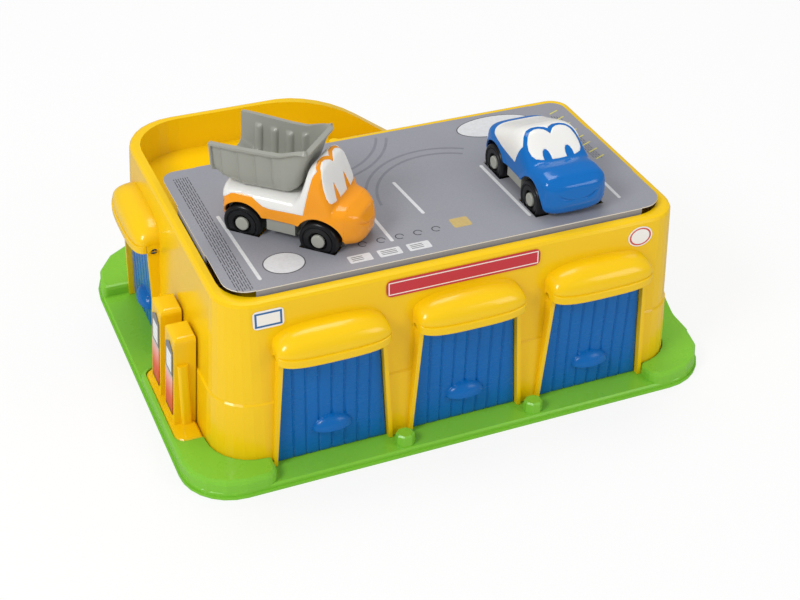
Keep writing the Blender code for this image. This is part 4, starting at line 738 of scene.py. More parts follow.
@dataclass
class Vehicle:
    """A small car or truck: hull, white shell, windscreen, chassis and wheels."""

    name: str
    place: Place
    hull: Hull
    colour: Finish
    colour_slot: str
    white_side: Array
    screen: Array
    notches: tuple[Array, ...]
    frame_band: float
    screen_from_x: float
    screen_foot_x: float
    wheelbase: float = 58.0
    track: float = 54.0
    arch_radius: float = 17.3
    sill_height: float = 22.9
    smile: tuple[float, float, float] = (20.0, 11.0, 3.4)
    wheel: Wheel = field(default_factory=Wheel)
    hull_steps: int = 200
    around_steps: int = 90
    skin: float = 1.6
    overhang_from_axle: float = 5.0
    nose_from_axle: float = 10.0
    side_from: float = 12.0
    arch_lip: tuple[float, float] = (0.8, 2.6)
    smile_press: tuple[float, float] = (0.9, 0.8)
    white_skin: float = 1.0
    lift: float = 0.4
    edge: float = 0.8

    def unrolled(self, points: Array) -> Array:
        """Return points as (across, up): up is the roof line's length from the screen's foot."""
        line = self.hull.line(400)
        steps = np.linalg.norm(np.diff(line, axis=0), axis=1)
        run = np.concatenate([[0.0], np.cumsum(steps)])
        foot = np.interp(self.screen_foot_x, line[:, 0], run)
        up = foot - np.interp(points[..., 0], line[:, 0], run)
        return np.stack([points[..., 1], up], axis=-1)

    def white_depth(self, points: Array) -> Array:
        """Return how deep points lie inside the white shell's side windows, roof and deck.

        The shell is the side outline without the frame about the windscreen, which is the
        windscreen's outline grown by the width of the frame.
        """
        side = signed_distance(points[..., [0, 2]], self.white_side)
        frame = signed_distance(self.unrolled(points), self.screen) + self.frame_band
        front = points[..., 0] > self.screen_from_x
        return np.where(front, np.minimum(side, -frame), side)

    def screen_depth(self, points: Array) -> Array:
        """Return how deep points lie inside the windscreen, less the notches at its foot."""
        flat = self.unrolled(points)
        depth = signed_distance(flat, self.screen)
        for notch in self.notches:
            depth = np.minimum(depth, -signed_distance(flat, notch))
        front = points[..., 0] > self.screen_from_x
        return np.where(front, depth, -10.0)

    def coloured_body(self) -> bpy.types.Object:
        """Make the coloured body with its wheel arches.

        Columns run from one lower edge over the roof to the other. The lower edge is the
        height of the sill, of the arch's circle, or the middle of the underside beyond the
        arches. A soft lip follows each arch, and a curved line is pressed into the nose.
        """
        hull = self.hull
        line = hull.line(self.hull_steps)
        axles = (-self.wheelbase / 2, self.wheelbase / 2)
        ends = [axle + side * self.arch_radius for axle in axles for side in (-1, 1)]
        spread = np.array([-0.6, -0.25, -0.08, -0.02, 0.02, 0.08, 0.25, 0.6])
        extra = (np.array(ends)[:, None] + spread[None, :]).reshape(-1)
        extra = np.stack([extra, np.interp(extra, line[:, 0], line[:, 1])], axis=1)
        flat = np.diff(line[:, 0], prepend=line[0, 0] - 1.0) > 0.02
        line = np.vstack([line[flat], extra])
        line = line[np.argsort(line[:, 0], kind="stable")]
        x, top = line[:, 0], line[:, 1]
        gap = np.abs(x[:, None] - np.array(axles)[None, :]).min(axis=1)
        arch = self.wheel.radius + np.sqrt(np.maximum(self.arch_radius ** 2 - gap ** 2, 0.0))
        edge = np.maximum(arch, self.sill_height)
        outer = np.abs(x) > self.wheelbase / 2 + self.overhang_from_axle
        edge = np.where(outer, arch, edge)
        lowest = hull.angle_at(top, edge)
        lowest = np.where(np.abs(x) > self.wheelbase / 2 + self.arch_radius, math.pi, lowest)
        share = np.linspace(-1.0, 1.0, self.around_steps * 2 + 1)
        grid = hull.points(x[:, None], top[:, None], lowest[:, None] * share[None, :])
        lip = np.hypot(np.abs(grid[..., 0]) - self.wheelbase / 2, grid[..., 2] - self.wheel.radius)
        swell = self.arch_lip[0] * np.exp(-((lip - self.arch_radius) / self.arch_lip[1]) ** 2)
        grid[..., 1] += np.sign(grid[..., 1]) * swell * (np.abs(grid[..., 1]) > self.side_from)
        grid[..., 0] -= self.smile_depth(grid)
        made = Patchwork().add(grid).build(self.name + "_body_skin", 50.0, False)
        self.face_out(made)
        thicken(made, self.skin)
        return made

    def smile_depth(self, grid: Array) -> Array:
        """Return the depth of the curved line: a groove along a parabola across the nose."""
        height, half, rise = self.smile
        y, z = grid[..., 1], grid[..., 2]
        level = height + rise * (y / half) ** 2
        fade = 1.0 - smooth_step((np.abs(y) / half - 0.8) / 0.35)
        front = grid[..., 0] > self.wheelbase / 2 + self.nose_from_axle
        deep, wide = self.smile_press
        return deep * np.exp(-((z - level) / wide) ** 2) * fade * front

    def raised(self, name: str, depth_of: Callable[[Array], Array], low: float,
               high: float) -> bpy.types.Object:
        """Make a white part as the hull lifted where a region is deep enough.

        The lift goes from below the coloured body to above it across the region's outline,
        so the part's edge rolls down into the body: lift = a smooth step of the depth.

        Args:
            name: name of the part.
            depth_of: function that gives the depth of points in the region.
            low: first place along the vehicle.
            high: last place along the vehicle.

        Returns:
            The part.
        """
        line = self.hull.line(self.hull_steps * 2)
        line = line[(line[:, 0] > low) & (line[:, 0] < high)]
        angle = np.radians(np.linspace(-95.0, 95.0, self.around_steps * 3 + 1))
        grid = self.hull.points(line[:, :1], line[:, 1:], angle[None, :])
        depth = depth_of(grid)
        normal = surface_normals(grid)
        outward = grid - np.array([0.0, 0.0, self.hull.belt])
        outward[..., 0] = 0.0
        normal *= np.sign((normal * outward).sum(-1, keepdims=True))
        rise = (smooth_step((depth + self.edge) / (2 * self.edge)) * 2.0 - 1.0) * self.lift
        raised = grid + normal * rise[..., None]
        made = Patchwork().add(raised, keep=depth > -self.edge * 1.2).build(name, 60.0, False)
        self.face_out(made)
        thicken(made, self.white_skin)
        return made

    def face_out(self, piece: bpy.types.Object) -> None:
        """Turn a sheet's faces away from the middle of the hull, then carry it to its place."""
        mesh = piece.data
        normals = np.empty(len(mesh.polygons) * 3)
        centres = np.empty(len(mesh.polygons) * 3)
        mesh.polygons.foreach_get("normal", normals)
        mesh.polygons.foreach_get("center", centres)
        normals, centres = normals.reshape(-1, 3), centres.reshape(-1, 3)
        middle = np.array([0.0, 0.0, self.hull.belt * MM])
        away = centres - middle
        away[:, 0] *= 0.3
        if (normals * away).sum() < 0.0:
            mesh.flip_normals()
        points = np.empty(len(mesh.vertices) * 3)
        mesh.vertices.foreach_get("co", points)
        moved = self.place.carry(points.reshape(-1, 3) / MM) * MM
        mesh.vertices.foreach_set("co", moved.reshape(-1))
        mesh.update()

    def wheels(self) -> None:
        """Make the four wheels and the two axles with their hub heads."""
        end = self.track / 2
        for where, along in (("rear", -self.wheelbase / 2), ("front", self.wheelbase / 2)):
            body = f"{self.name}_{where}_wheels"
            hubs = self.wheel.turned(self.wheel.hub_profile(end), along, 0.0, 1.0)
            axle = Patchwork().add(self.place.carry(hubs), wrap_columns=True)
            place_piece(axle.build(f"{self.name}_{where}_hubs"), Finish.HUB, body, "hub_grey",
                        f"{self.name}_{where}_axle")
            for side, sign in (("left", 1.0), ("right", -1.0)):
                aside = sign * (end - self.wheel.width / 2)
                grid = self.wheel.turned(self.wheel.profile(), along, aside, sign)
                tyre = Patchwork().add(self.place.carry(grid), wrap_rows=True, wrap_columns=True)
                place_piece(tyre.build(f"{self.name}_{where}_{side}_tyre", 35.0), Finish.TYRE, body,
                            "black_wheel", f"{self.name}_{where}_{side}_wheel")

    def build(self) -> None:
        """Make the body, the white shell with the windscreen, and the wheels."""
        place_piece(self.coloured_body(), self.colour, self.name, self.colour_slot,
                    f"{self.name}_body")
        shell = self.raised(f"{self.name}_shell_skin", self.white_depth, -70.0, 70.0)
        place_piece(shell, Finish.WHITE, self.name, "white_plastic", f"{self.name}_shell")
        screen = self.raised(f"{self.name}_windscreen", self.screen_depth, self.screen_from_x, 60.0)
        place_piece(screen, Finish.WHITE, self.name, "white_plastic")
        self.wheels()


def make_car() -> Vehicle:
    """Return the small car."""
    roof = ((-54.0, 24.0), (-53.6, 33.0), (-46.0, 39.0), (-36.0, 41.4), (-22.0, 47.4),
            (-10.0, 52.4), (-3.0, 54.0), (3.0, 53.4), (23.0, 39.4), (34.0, 40.8), (45.0, 39.4),
            (52.0, 33.5), (53.6, 24.0))
    hull = Hull(roof, 4.0, 26.0, 24.0, 9.5, 14.0, 20.0, 2.8, 4.2)
    side = np.array([(2.5, 31.5), (9.0, 52.0), (14.0, 62.0), (14.0, 80.0), (-52.0, 80.0),
                     (-46.0, 43.5), (-40.0, 40.0), (-33.0, 36.5), (-17.0, 33.4)])
    screen = mirrored(((0.0, 0.2), (8.0, 0.6), (14.0, 1.6), (18.0, 3.6), (20.0, 7.5),
                       (20.6, 12.5), (19.8, 17.5), (17.6, 22.4), (14.4, 25.8), (10.6, 27.2),
                       (7.0, 27.0), (3.8, 25.2), (1.4, 22.4), (0.0, 20.4)))
    notch = np.array([(5.9, -3.0), (6.0, 4.2), (6.7, 7.2), (8.0, 9.2), (9.6, 9.5), (11.2, 7.8),
                      (12.1, 4.8), (12.4, -3.0)])
    return Vehicle("car", Place(94.5, -69.6, -89.3), hull, Finish.CAR_BLUE, "car_blue", side,
                   screen, (notch, notch * (-1.0, 1.0)), 3.2, -10.0, 22.5,
                   smile=(22.0, 15.0, 5.0))


def make_truck() -> Vehicle:
    """Return the tipper truck without its bed."""
    roof = ((-50.3, 24.0), (-50.0, 32.0), (-44.0, 41.2), (-34.0, 41.2), (10.0, 41.2), (13.6, 46.0),
            (19.5, 66.5), (23.5, 69.6), (28.5, 66.5), (37.8, 39.5), (46.0, 38.6), (54.0, 34.0),
            (58.5, 24.0))
    hull = Hull(roof, 3.0, 25.2, 24.0, 9.5, 28.0, 12.0, 2.1, 4.2)
    side = np.array([(-49.5, 26.0), (-44.0, 31.5), (-38.0, 36.2), (-30.0, 37.4), (-22.0, 36.6),
                     (-13.0, 31.8), (-8.0, 31.0), (17.5, 31.9), (21.5, 52.0), (23.5, 62.0),
                     (29.5, 72.0), (29.5, 95.0), (-60.0, 95.0), (-60.0, 28.0)])
    screen = mirrored(((0.0, 1.0), (8.0, 1.2), (14.0, 1.8), (18.4, 3.8), (20.6, 7.0),
                       (21.4, 12.0), (21.0, 20.0), (19.2, 26.4), (15.4, 30.2), (10.6, 31.6),
                       (6.4, 31.0), (2.8, 28.8), (0.0, 25.6)))
    notch = np.array([(5.2, -3.0), (5.9, 4.0), (7.2, 10.0), (8.0, 13.6), (8.8, 13.6),
                      (9.9, 10.0), (11.2, 4.0), (11.8, -3.0)])
    return Vehicle("truck", Place(-96.0, -58.1, -44.4), hull, Finish.ORANGE, "orange_plastic",
                   side, screen, (notch, notch * (-1.0, 1.0)), 3.2, 20.0, 37.8,
                   smile=(24.0, 13.0, 4.0))


@dataclass
class TipperBed:
    """The truck's grey bed: a scoop with ribbed sides, a rolled rim and a high front.

    Its floor line runs forwards and up the front wall, and its rim line runs along the top
    of the side. A section joins them: across it is a superellipse quarter, and its height
    goes from the floor line to the rim line.
    """

    place: Place
    floor: Knots = ((-52.0, 50.5), (-41.5, 44.9), (-29.0, 42.3), (3.0, 42.3), (9.4, 47.4),
                    (13.4, 60.0), (19.2, 80.0))
    rim: Knots = ((-52.0, 74.0), (-38.0, 74.0), (-12.0, 74.0), (0.0, 74.5), (12.0, 78.6),
                  (19.2, 80.0))
    half_foot: tuple[float, float] = (23.0, 19.0)
    half_rim: tuple[float, float] = (24.4, 22.0)
    fullness: float = 7.0
    inside: tuple[float, float, float] = (-15.0, 0.0, 75.0)
    wall: float = 1.8
    rib_xs: tuple[float, ...] = (-44.0, -31.5, -19.0, -6.5)
    board: float = 12.5
    side_from: float = 16.0
    side_until_x: float = 4.0
    board_lean: float = 1.5
    board_groove: float = 0.5
    pilaster_from_rib: float = 6.2
    pilaster_half: float = 3.2
    pilaster_depth: float = 2.1
    rim_swell: float = 1.7
    rear_swell: float = 1.2
    edge: float = 0.35
    steps: int = 220
    around: int = 60

    def middle(self) -> tuple[Array, Array]:
        """Return the grid of the wall's middle surface, and each point's share of the height."""
        floor = softened(self.floor, 3.5, self.steps)
        rim = softened(self.rim, 4.0, self.steps)
        angle = np.radians(np.linspace(-90.0, 90.0, self.around * 2 + 1))
        sine, cosine, full = np.sin(angle), np.cos(angle), self.fullness
        radius = (np.abs(sine) ** full + np.abs(cosine) ** full) ** (1.0 / full)
        across, height = sine / radius, 1.0 - cosine / radius
        along = smooth_step((floor[:, :1] - floor[0, 0]) / (floor[-1, 0] - floor[0, 0]))
        foot, top = (ends[0] + (ends[1] - ends[0]) * along
                     for ends in (self.half_foot, self.half_rim))
        half = foot + (top - foot) * height
        x = floor[:, :1] + (rim[:, :1] - floor[:, :1]) * height
        z = floor[:, 1:] + (rim[:, 1:] - floor[:, 1:]) * height
        y = np.broadcast_to(half * across, x.shape)
        return np.stack([x, y, z], axis=-1), np.broadcast_to(height, x.shape)

    def build(self) -> None:
        """Make the bed from an outer and an inner surface with ribs, and a rim between them.

        Outside, boards lean a little: the wall steps back at each rib line, with a groove.
        Inside, each rib is a rounded pilaster that ends below the rim, which swells outwards.
        """
        grid, height = self.middle()
        normal = surface_normals(grid)
        outward = grid - np.array(self.inside)
        normal *= np.sign((normal * outward).sum(-1, keepdims=True))
        x = grid[..., 0]
        on_side = smooth_step((np.abs(grid[..., 1]) - self.side_from) / 3.0)
        on_side *= smooth_step((self.side_until_x - x) / 6.0)
        phase = (x - self.rib_xs[0]) / self.board
        phase -= np.floor(phase)
        boards = self.board_lean * phase * smooth_step((1.0 - phase) / 0.07)
        boards -= self.board_groove * np.exp(-(np.minimum(phase, 1.0 - phase) / 0.045) ** 2)
        pilasters = np.zeros_like(x)
        for rib in self.rib_xs:
            aside = (x - rib - self.pilaster_from_rib) / self.pilaster_half
            pilasters += np.sqrt(np.maximum(1.0 - aside ** 2, 0.0))
        low_end = smooth_step((height - 0.02) / 0.1)
        top_end = 1.0 - smooth_step((height - 0.72) / 0.1)
        boards *= on_side * low_end
        pilasters *= on_side * top_end * self.pilaster_depth
        lip = smooth_step((height - 0.90) / 0.03) * self.rim_swell
        row = np.arange(self.steps)[:, None] / (self.steps - 1)
        front = smooth_step((row - 0.965) / 0.012) * self.rim_swell
        rear = (1.0 - smooth_step((row - 0.012) / 0.012)) * self.rear_swell * low_end
        rim = np.maximum(np.maximum(lip, front), rear)
        boards *= 1.0 - smooth_step(rim / 0.6)
        outer = grid + normal * (self.wall / 2 - boards + rim)[..., None]
        inner = grid - normal * (self.wall / 2 + pilasters)[..., None]
        outer, inner = self.place.carry(outer), self.place.carry(inner)
        shell = Patchwork().add(outer).add(inner, flip=True)
        shell.add(np.stack([outer[0], inner[0]])).add(np.stack([inner[-1], outer[-1]]))
        shell.add(np.stack([inner[:, 0], outer[:, 0]]))
        shell.add(np.stack([outer[:, -1], inner[:, -1]]))
        made = shell.build("tipper_bed", 45.0)
        bevel = made.modifiers.new("edge", "BEVEL")
        bevel.width = self.edge * MM
        bevel.segments = 2
        bevel.angle_limit = math.radians(50.0)
        place_piece(made, Finish.GREY, "truck_bed", "grey_plastic", "truck_bed")


@dataclass
class Bay:
    """The frame of a door: x to the right along the wall, y inwards from its foot, z up."""

    name: str
    x: float
    y: float
    turned: bool = False

    def carry(self, points: Array) -> Array:
        """Move points to the bay; the left wall's bay looks to the left."""
        if self.turned:
            moved = np.stack([points[..., 1], -points[..., 0], points[..., 2]], axis=-1)
        else:
            moved = points.copy()
        return moved + np.array([self.x, self.y, 0.0])


@dataclass
class LiftDoor:
    """A blue door of upright boards with a cup-shaped handle, hung on pins at its top."""

    bay: Bay
    face: float = 2.0
    thick: float = 3.0
    bottom: float = 6.2
    top: float = 101.0
    hinge: tuple[float, float] = (2.5, 97.0)
    half_bay: float = 42.6
    slope: float = 0.071
    gap: float = 0.55
    straight_half: float = 30.0
    board: float = 9.6
    boards_to: float = 3.5
    groove: float = 0.8
    groove_width: float = 0.9
    crown: float = 0.35
    edge_fall: float = 0.4
    barrel_radius: float = 3.0
    pin_radius: float = 2.5
    pin_length: float = 2.8
    pin_soft: float = 0.6
    handle_foot: float = 27.6
    handle_height: float = 10.5
    handle_half: float = 15.0
    handle_reach: float = 7.2
    rows: int = 50
    columns: int = 331

    def half_width(self, z: Array) -> Array:
        """Return the door's half width at a height; its sides lean in with the bay's."""
        return self.half_bay - self.slope * (z - 5.5) - self.gap

    def build(self) -> None:
        """Make the door as a height field over a grid that fans out to its leaning sides.

        Grooves are narrow bell curves between the boards, and each board is a little crowned.
        The handle is a quarter ellipsoid that stands out above its flat lower edge.
        """
        knots = np.linspace(self.bottom, self.top, self.rows)
        ledge = self.handle_foot + np.concatenate([[-0.5, -0.05], np.linspace(0.05, 11.5, 28)])
        z = np.sort(np.concatenate([knots, ledge]))[:, None]
        share = np.linspace(-1.0, 1.0, self.columns)[None, :]
        inner, half = self.straight_half, self.half_width(z)
        split = inner / float(self.half_width(np.array(self.bottom)))
        outer = inner + (np.abs(share) - split) / (1.0 - split) * (half - inner)
        u = np.where(np.abs(share) <= split, share / split * inner, np.sign(share) * outer)
        phase = (u / self.board) - np.round(u / self.board)
        grooves = self.groove * np.exp(-(phase * self.board / self.groove_width) ** 2)
        grooves = grooves * (np.abs(u) < self.boards_to * self.board)
        crown = self.crown * (1.0 - (2.0 * np.abs(np.abs(phase) - 0.5)) ** 4)
        border = smooth_step(np.minimum(half - np.abs(u), z - self.bottom))
        depth = self.face + grooves - crown * border + self.edge_fall * (1.0 - border)
        above = z - self.handle_foot
        dome = 1.0 - (u / self.handle_half) ** 2 - (above / self.handle_height) ** 2
        dome = np.sqrt(np.maximum(dome, 0.0)) * (above > 0.0)
        cup = np.minimum(depth, self.face - self.handle_reach * dome)
        depth = np.where(dome > 0.03, cup, depth)
        z = np.broadcast_to(z, u.shape)
        front = self.bay.carry(np.stack([u, depth, z], axis=-1))
        back = self.bay.carry(np.stack([u, np.full_like(u, self.face + self.thick), z], axis=-1))
        panel = Patchwork().add(front).add(back, flip=True)
        for edge_pair in ((front[0], back[0]), (back[-1], front[-1]), (back[:, 0], front[:, 0]),
                          (front[:, -1], back[:, -1])):
            panel.add(np.stack(edge_pair))
        made = panel.build(self.bay.name + "_boards", 50.0)
        place_piece(made, Finish.DOOR_BLUE, self.bay.name, "blue_door", self.bay.name)
        self.pins()

    def pins(self) -> None:
        """Make the barrel at the door's top with a round-ended pin on each side."""
        y, z = self.hinge
        half = float(self.half_width(np.array(z)))
        tip = half + self.gap + self.pin_length
        turn, soft = np.linspace(0.0, math.pi / 2, 5), self.pin_soft
        tip_curve = np.stack([self.pin_radius - soft + soft * np.cos(turn),
                              tip - soft + soft * np.sin(turn)], axis=1)
        shoulder = [(self.barrel_radius, half - 0.01), (self.pin_radius, half)]
        side = np.vstack([shoulder, tip_curve, [(0.0, tip)]])
        profile = np.vstack([side[::-1] * (1.0, -1.0), side])
        around = np.linspace(0.0, 2 * math.pi, 32, endpoint=False)
        radius, along = profile[:, :1], profile[:, 1:]
        grid = np.stack(np.broadcast_arrays(along, y + radius * np.cos(around),
                                            z + radius * np.sin(around)), axis=-1)
        barrel = Patchwork().add(self.bay.carry(grid), wrap_columns=True)
        made = barrel.build(self.bay.name + "_hinge")
        place_piece(made, Finish.DOOR_BLUE, self.bay.name, "blue_door")


@dataclass
class Hood:
    """A bulging yellow hood over a door, with a flat band along its lower edge."""

    bay: Bay
    half: float = 41.0
    lip: float = 96.0
    top: float = 118.9
    end_top: float = 104.0
    end_rise: float = 1.5
    reach: float = 12.5
    proud: float = 2.3
    fullness: float = 2.4
    plan_fullness: float = 2.9
    band: float = 6.4
    band_proud: float = 0.9
    band_square: float = 8.0
    crease: tuple[float, float] = (0.5, 0.2)
    arch_foot: float = 0.3
    skin: float = 0.3
    wall_back: float = 8.4

    def build(self) -> None:
        """Make the hood's skin: superellipses of the place along the wall, carried along it.

        At each place the section goes from the lip up a band with rounded edges, then from a
        crease behind the band out and up over a superellipse quarter and back to the wall.
        """
        share = np.sin(np.linspace(-math.pi / 2, math.pi / 2, 129))[:, None]
        u = share * (self.half + self.skin)
        full = self.plan_fullness
        swell = (1.0 - np.abs(share) ** full) ** (1.0 / full)
        top = self.end_top + (self.top - self.end_top) * swell + self.skin
        lip = -self.proud - (self.reach - self.proud) * swell - self.skin
        low = self.lip + self.end_rise * np.abs(share) ** 6 - self.skin
        foot = low + self.band
        back = np.full_like(u, self.wall_back)
        turn = np.linspace(0.0, math.pi / 2, 34)[None, :]
        power = 2.0 / self.fullness
        arch_y = back - (back - lip) * np.cos(turn) ** power
        start = foot + self.arch_foot
        arch_z = start + (top - foot - self.arch_foot) * np.sin(turn) ** power
        rise = (1.0 - np.cos(np.linspace(0.0, math.pi, 21)[None, :])) / 2
        swollen = np.sqrt(1.0 - np.abs(2.0 * rise - 1.0) ** self.band_square)
        band_y = lip - self.band_proud * swollen
        band_z = low + self.band * rise
        crease_y, crease_z = lip + self.crease[0], foot + self.crease[1]
        inner_y = np.concatenate([back, lip + 2.0, crease_y], axis=1)
        inner_z = np.concatenate([low + 0.4, low + 0.3, low], axis=1)
        y = np.concatenate([inner_y, band_y, crease_y, arch_y[:, 1:]], axis=1)
        z = np.concatenate([inner_z, band_z, crease_z, arch_z[:, 1:]], axis=1)
        grid = np.stack([np.broadcast_to(u, y.shape), y, z], axis=-1)
        hood = Patchwork().add(self.bay.carry(grid), wrap_columns=True)
        made = hood.build(self.bay.name + "_hood", 50.0)
        place_piece(made, Finish.YELLOW, "garage", "yellow_shell")


@dataclass
class CardPrint:
    """What is printed on the card: parking lines, ovals, rows of dashes and tyre arcs."""

    top: float = 145.3
    sunk: float = 0.02
    ink: float = 0.06
    outline: float = 0.8
    line_width: float = 2.6
    plates: int = 3
    plate_pitch: float = 22.0
    ovals: tuple[tuple[tuple[float, float], tuple[float, float]], ...] = (
        ((-120.7, -104.0), (14.2, 12.2)), ((100.0, 22.0), (32.2, 15.2)))
    lines: tuple[tuple[tuple[float, float], tuple[float, float]], ...] = (
        ((-145.1, -31.3), (-142.1, -116.5)), ((-42.5, -62.0), (-41.0, -104.0)),
        ((-9.5, -31.9), (-6.0, -78.0)), ((62.0, -32.0), (64.6, -108.0)),
        ((137.8, -60.0), (137.7, -109.1)))

    def slab(self, patch: Patchwork, outline: Array, lift: float = 0.0) -> None:
        """Add a thin slab of ink: its outline at the card and again at the ink's height."""
        low = np.column_stack([outline, np.full(len(outline), self.top - self.sunk)])
        high = low + np.array([0.0, 0.0, self.sunk + self.ink + lift])
        patch.add(np.stack([low, high]), wrap_columns=True)
        patch.fan(high).fan(low, flip=True)

    def stroke(self, patch: Patchwork, start: tuple[float, float], end: tuple[float, float],
               width: float, lift: float = 0.0) -> None:
        """Add a straight stroke as a slab with rounded ends."""
        first, last = np.array(start), np.array(end)
        along = (last - first) / np.linalg.norm(last - first)
        aside = np.array([-along[1], along[0]])
        turn = np.linspace(-math.pi / 2, math.pi / 2, 7)[:, None]
        tip = width / 2 * (np.cos(turn) * along + np.sin(turn) * aside)
        self.slab(patch, np.vstack([last + tip, first - tip]), lift)

    def oval(self, patch: Patchwork, centre: tuple[float, float], halves: tuple[float, float],
             lift: float = 0.0) -> None:
        """Add an ellipse as a slab."""
        turn = np.linspace(0.0, 2 * math.pi, 72, endpoint=False)
        self.slab(patch, np.stack([centre[0] + halves[0] * np.cos(turn),
                                   centre[1] + halves[1] * np.sin(turn)], axis=1), lift)

    def arc(self, patch: Patchwork, centre: tuple[float, float], radius: float,
            sweep: tuple[float, float], width: float) -> None:
        """Add a curved band: two arcs about one centre."""
        turn = np.radians(np.linspace(sweep[0], sweep[1], 40))
        ring = np.stack([np.cos(turn), np.sin(turn)], axis=1)
        outline = np.vstack([centre + ring * (radius + width / 2),
                             centre + ring[::-1] * (radius - width / 2)])
        low = np.column_stack([outline, np.full(len(outline), self.top - self.sunk)])
        high = low + np.array([0.0, 0.0, self.sunk + self.ink * 0.5])
        steps = len(turn)
        for level, flip in ((high, False), (low, True)):
            patch.add(np.stack([level[:steps], level[steps:][::-1]]), flip=flip)
        patch.add(np.stack([low, high]), wrap_columns=True)

    def finish(self, patch: Patchwork, name: str, finish: Finish) -> None:
        """Build one ink's piece; it rides on the card."""
        place_piece(patch.build(name, 30.0), finish, "card", "printed_card")

    def build(self) -> None:
        """Make each ink as one piece."""
        shade = Patchwork()
        for radius in (58.0, 66.0):
            self.arc(shade, (28.0, -60.0), radius, (60.0, 178.0), 2.2)
            self.arc(shade, (-60.0, 60.0), radius + 10.0, (-75.0, -20.0), 2.2)
        self.finish(shade, "card_tyre_marks", Finish.SHADE_INK)

        white, dark = Patchwork(), Patchwork()
        for start, end in self.lines:
            self.stroke(white, start, end, self.line_width)
        for centre, halves in self.ovals:
            self.oval(white, centre, halves, 0.05)
            self.oval(dark, centre, (halves[0] + self.outline, halves[1] + self.outline))
        for place in range(self.plates):
            plate = rounded_outline(17.0, 9.0, 1.0, 3) + (-70.0 + place * self.plate_pitch, -117.0)
            self.slab(white, plate, 0.04)
        self.finish(white, "card_white_print", Finish.WHITE_INK)

        for column in range(7):
            x = -160.5 + column * 1.75
            for row in range(44):
                length = 1.6 + 1.1 * ((row * 7 + column * 5) % 3)
                y = 30.0 - row * 3.55
                self.stroke(dark, (x, y), (x, y - length), 0.55)
        for column in range(4):
            for row in range(18):
                x = 149.0 + column * 1.9
                y = 20.0 - row * 4.0 - column
                self.stroke(dark, (x, y), (x, y - 2.4), 0.5)
        for place in range(self.plates):
            for row in range(3):
                x, y = -76.0 + place * self.plate_pitch, -114.8 - row * 2.0
                self.stroke(dark, (x, y), (x + 8.0 + (row * 5 + place * 3) % 5, y), 0.6, 0.07)
        for place in range(5):
            self.arc(dark, (-62.0 + place * 14.0, -101.0), 3.0, (0.0, 300.0), 0.8)
        self.finish(dark, "card_dark_print", Finish.DARK_INK)

        yellow = Patchwork()
        for row in range(8):
            y = 24.0 - row * 11.0
            self.stroke(yellow, (150.0, y), (158.0, y + 3.5), 1.1, 0.02)
        self.finish(yellow, "card_yellow_print", Finish.YELLOW_INK)

        sand = Patchwork()
        self.slab(sand, rounded_outline(14.0, 12.0, 1.5, 4) + (14.0, -99.0))
        self.finish(sand, "card_sand_print", Finish.SAND_INK)


@dataclass
class Garage:
    """The building: its carried-over mouldings, doors, hoods, card and labels."""

    pitch: float = 103.5
    middle_x: float = 2.1
    wall_y: float = -146.0
    wall_x: float = -185.6
    left_door_y: float = 54.0

    def bays(self) -> list[Bay]:
        """Return the three front bays and the left one."""
        front = [Bay(f"door_{number + 1}", self.middle_x + (number - 1) * self.pitch, self.wall_y)
                 for number in range(3)]
        return front + [Bay("door_left", self.wall_x, self.left_door_y, True)]

    def dress_nodes(self, nodes: dict[str, bpy.types.Object]) -> None:
        """Give the mouldings that keep their CAD shape their finishes."""
        finishes = {
            "base": Finish.GREEN, "body_shell": Finish.YELLOW, "pump_island": Finish.YELLOW,
            "card_insert": Finish.CARD, "front_label": Finish.RED_FILM,
            "corner_label": Finish.CORNER_FILM, "oval_label": Finish.OVAL_FILM,
            "pump_label_1": Finish.PUMP_FILM, "pump_label_2": Finish.PUMP_FILM,
            "truck_chassis": Finish.GREY, "car_chassis": Finish.GREY,
        }
        for name, finish in finishes.items():
            dress(nodes[name], finish)

    def build(self, nodes: dict[str, bpy.types.Object]) -> None:
        """Dress the building and add its doors, hoods and print."""
        self.dress_nodes(nodes)
        for bay in self.bays():
            LiftDoor(bay).build()
            Hood(bay).build()
        CardPrint().build()


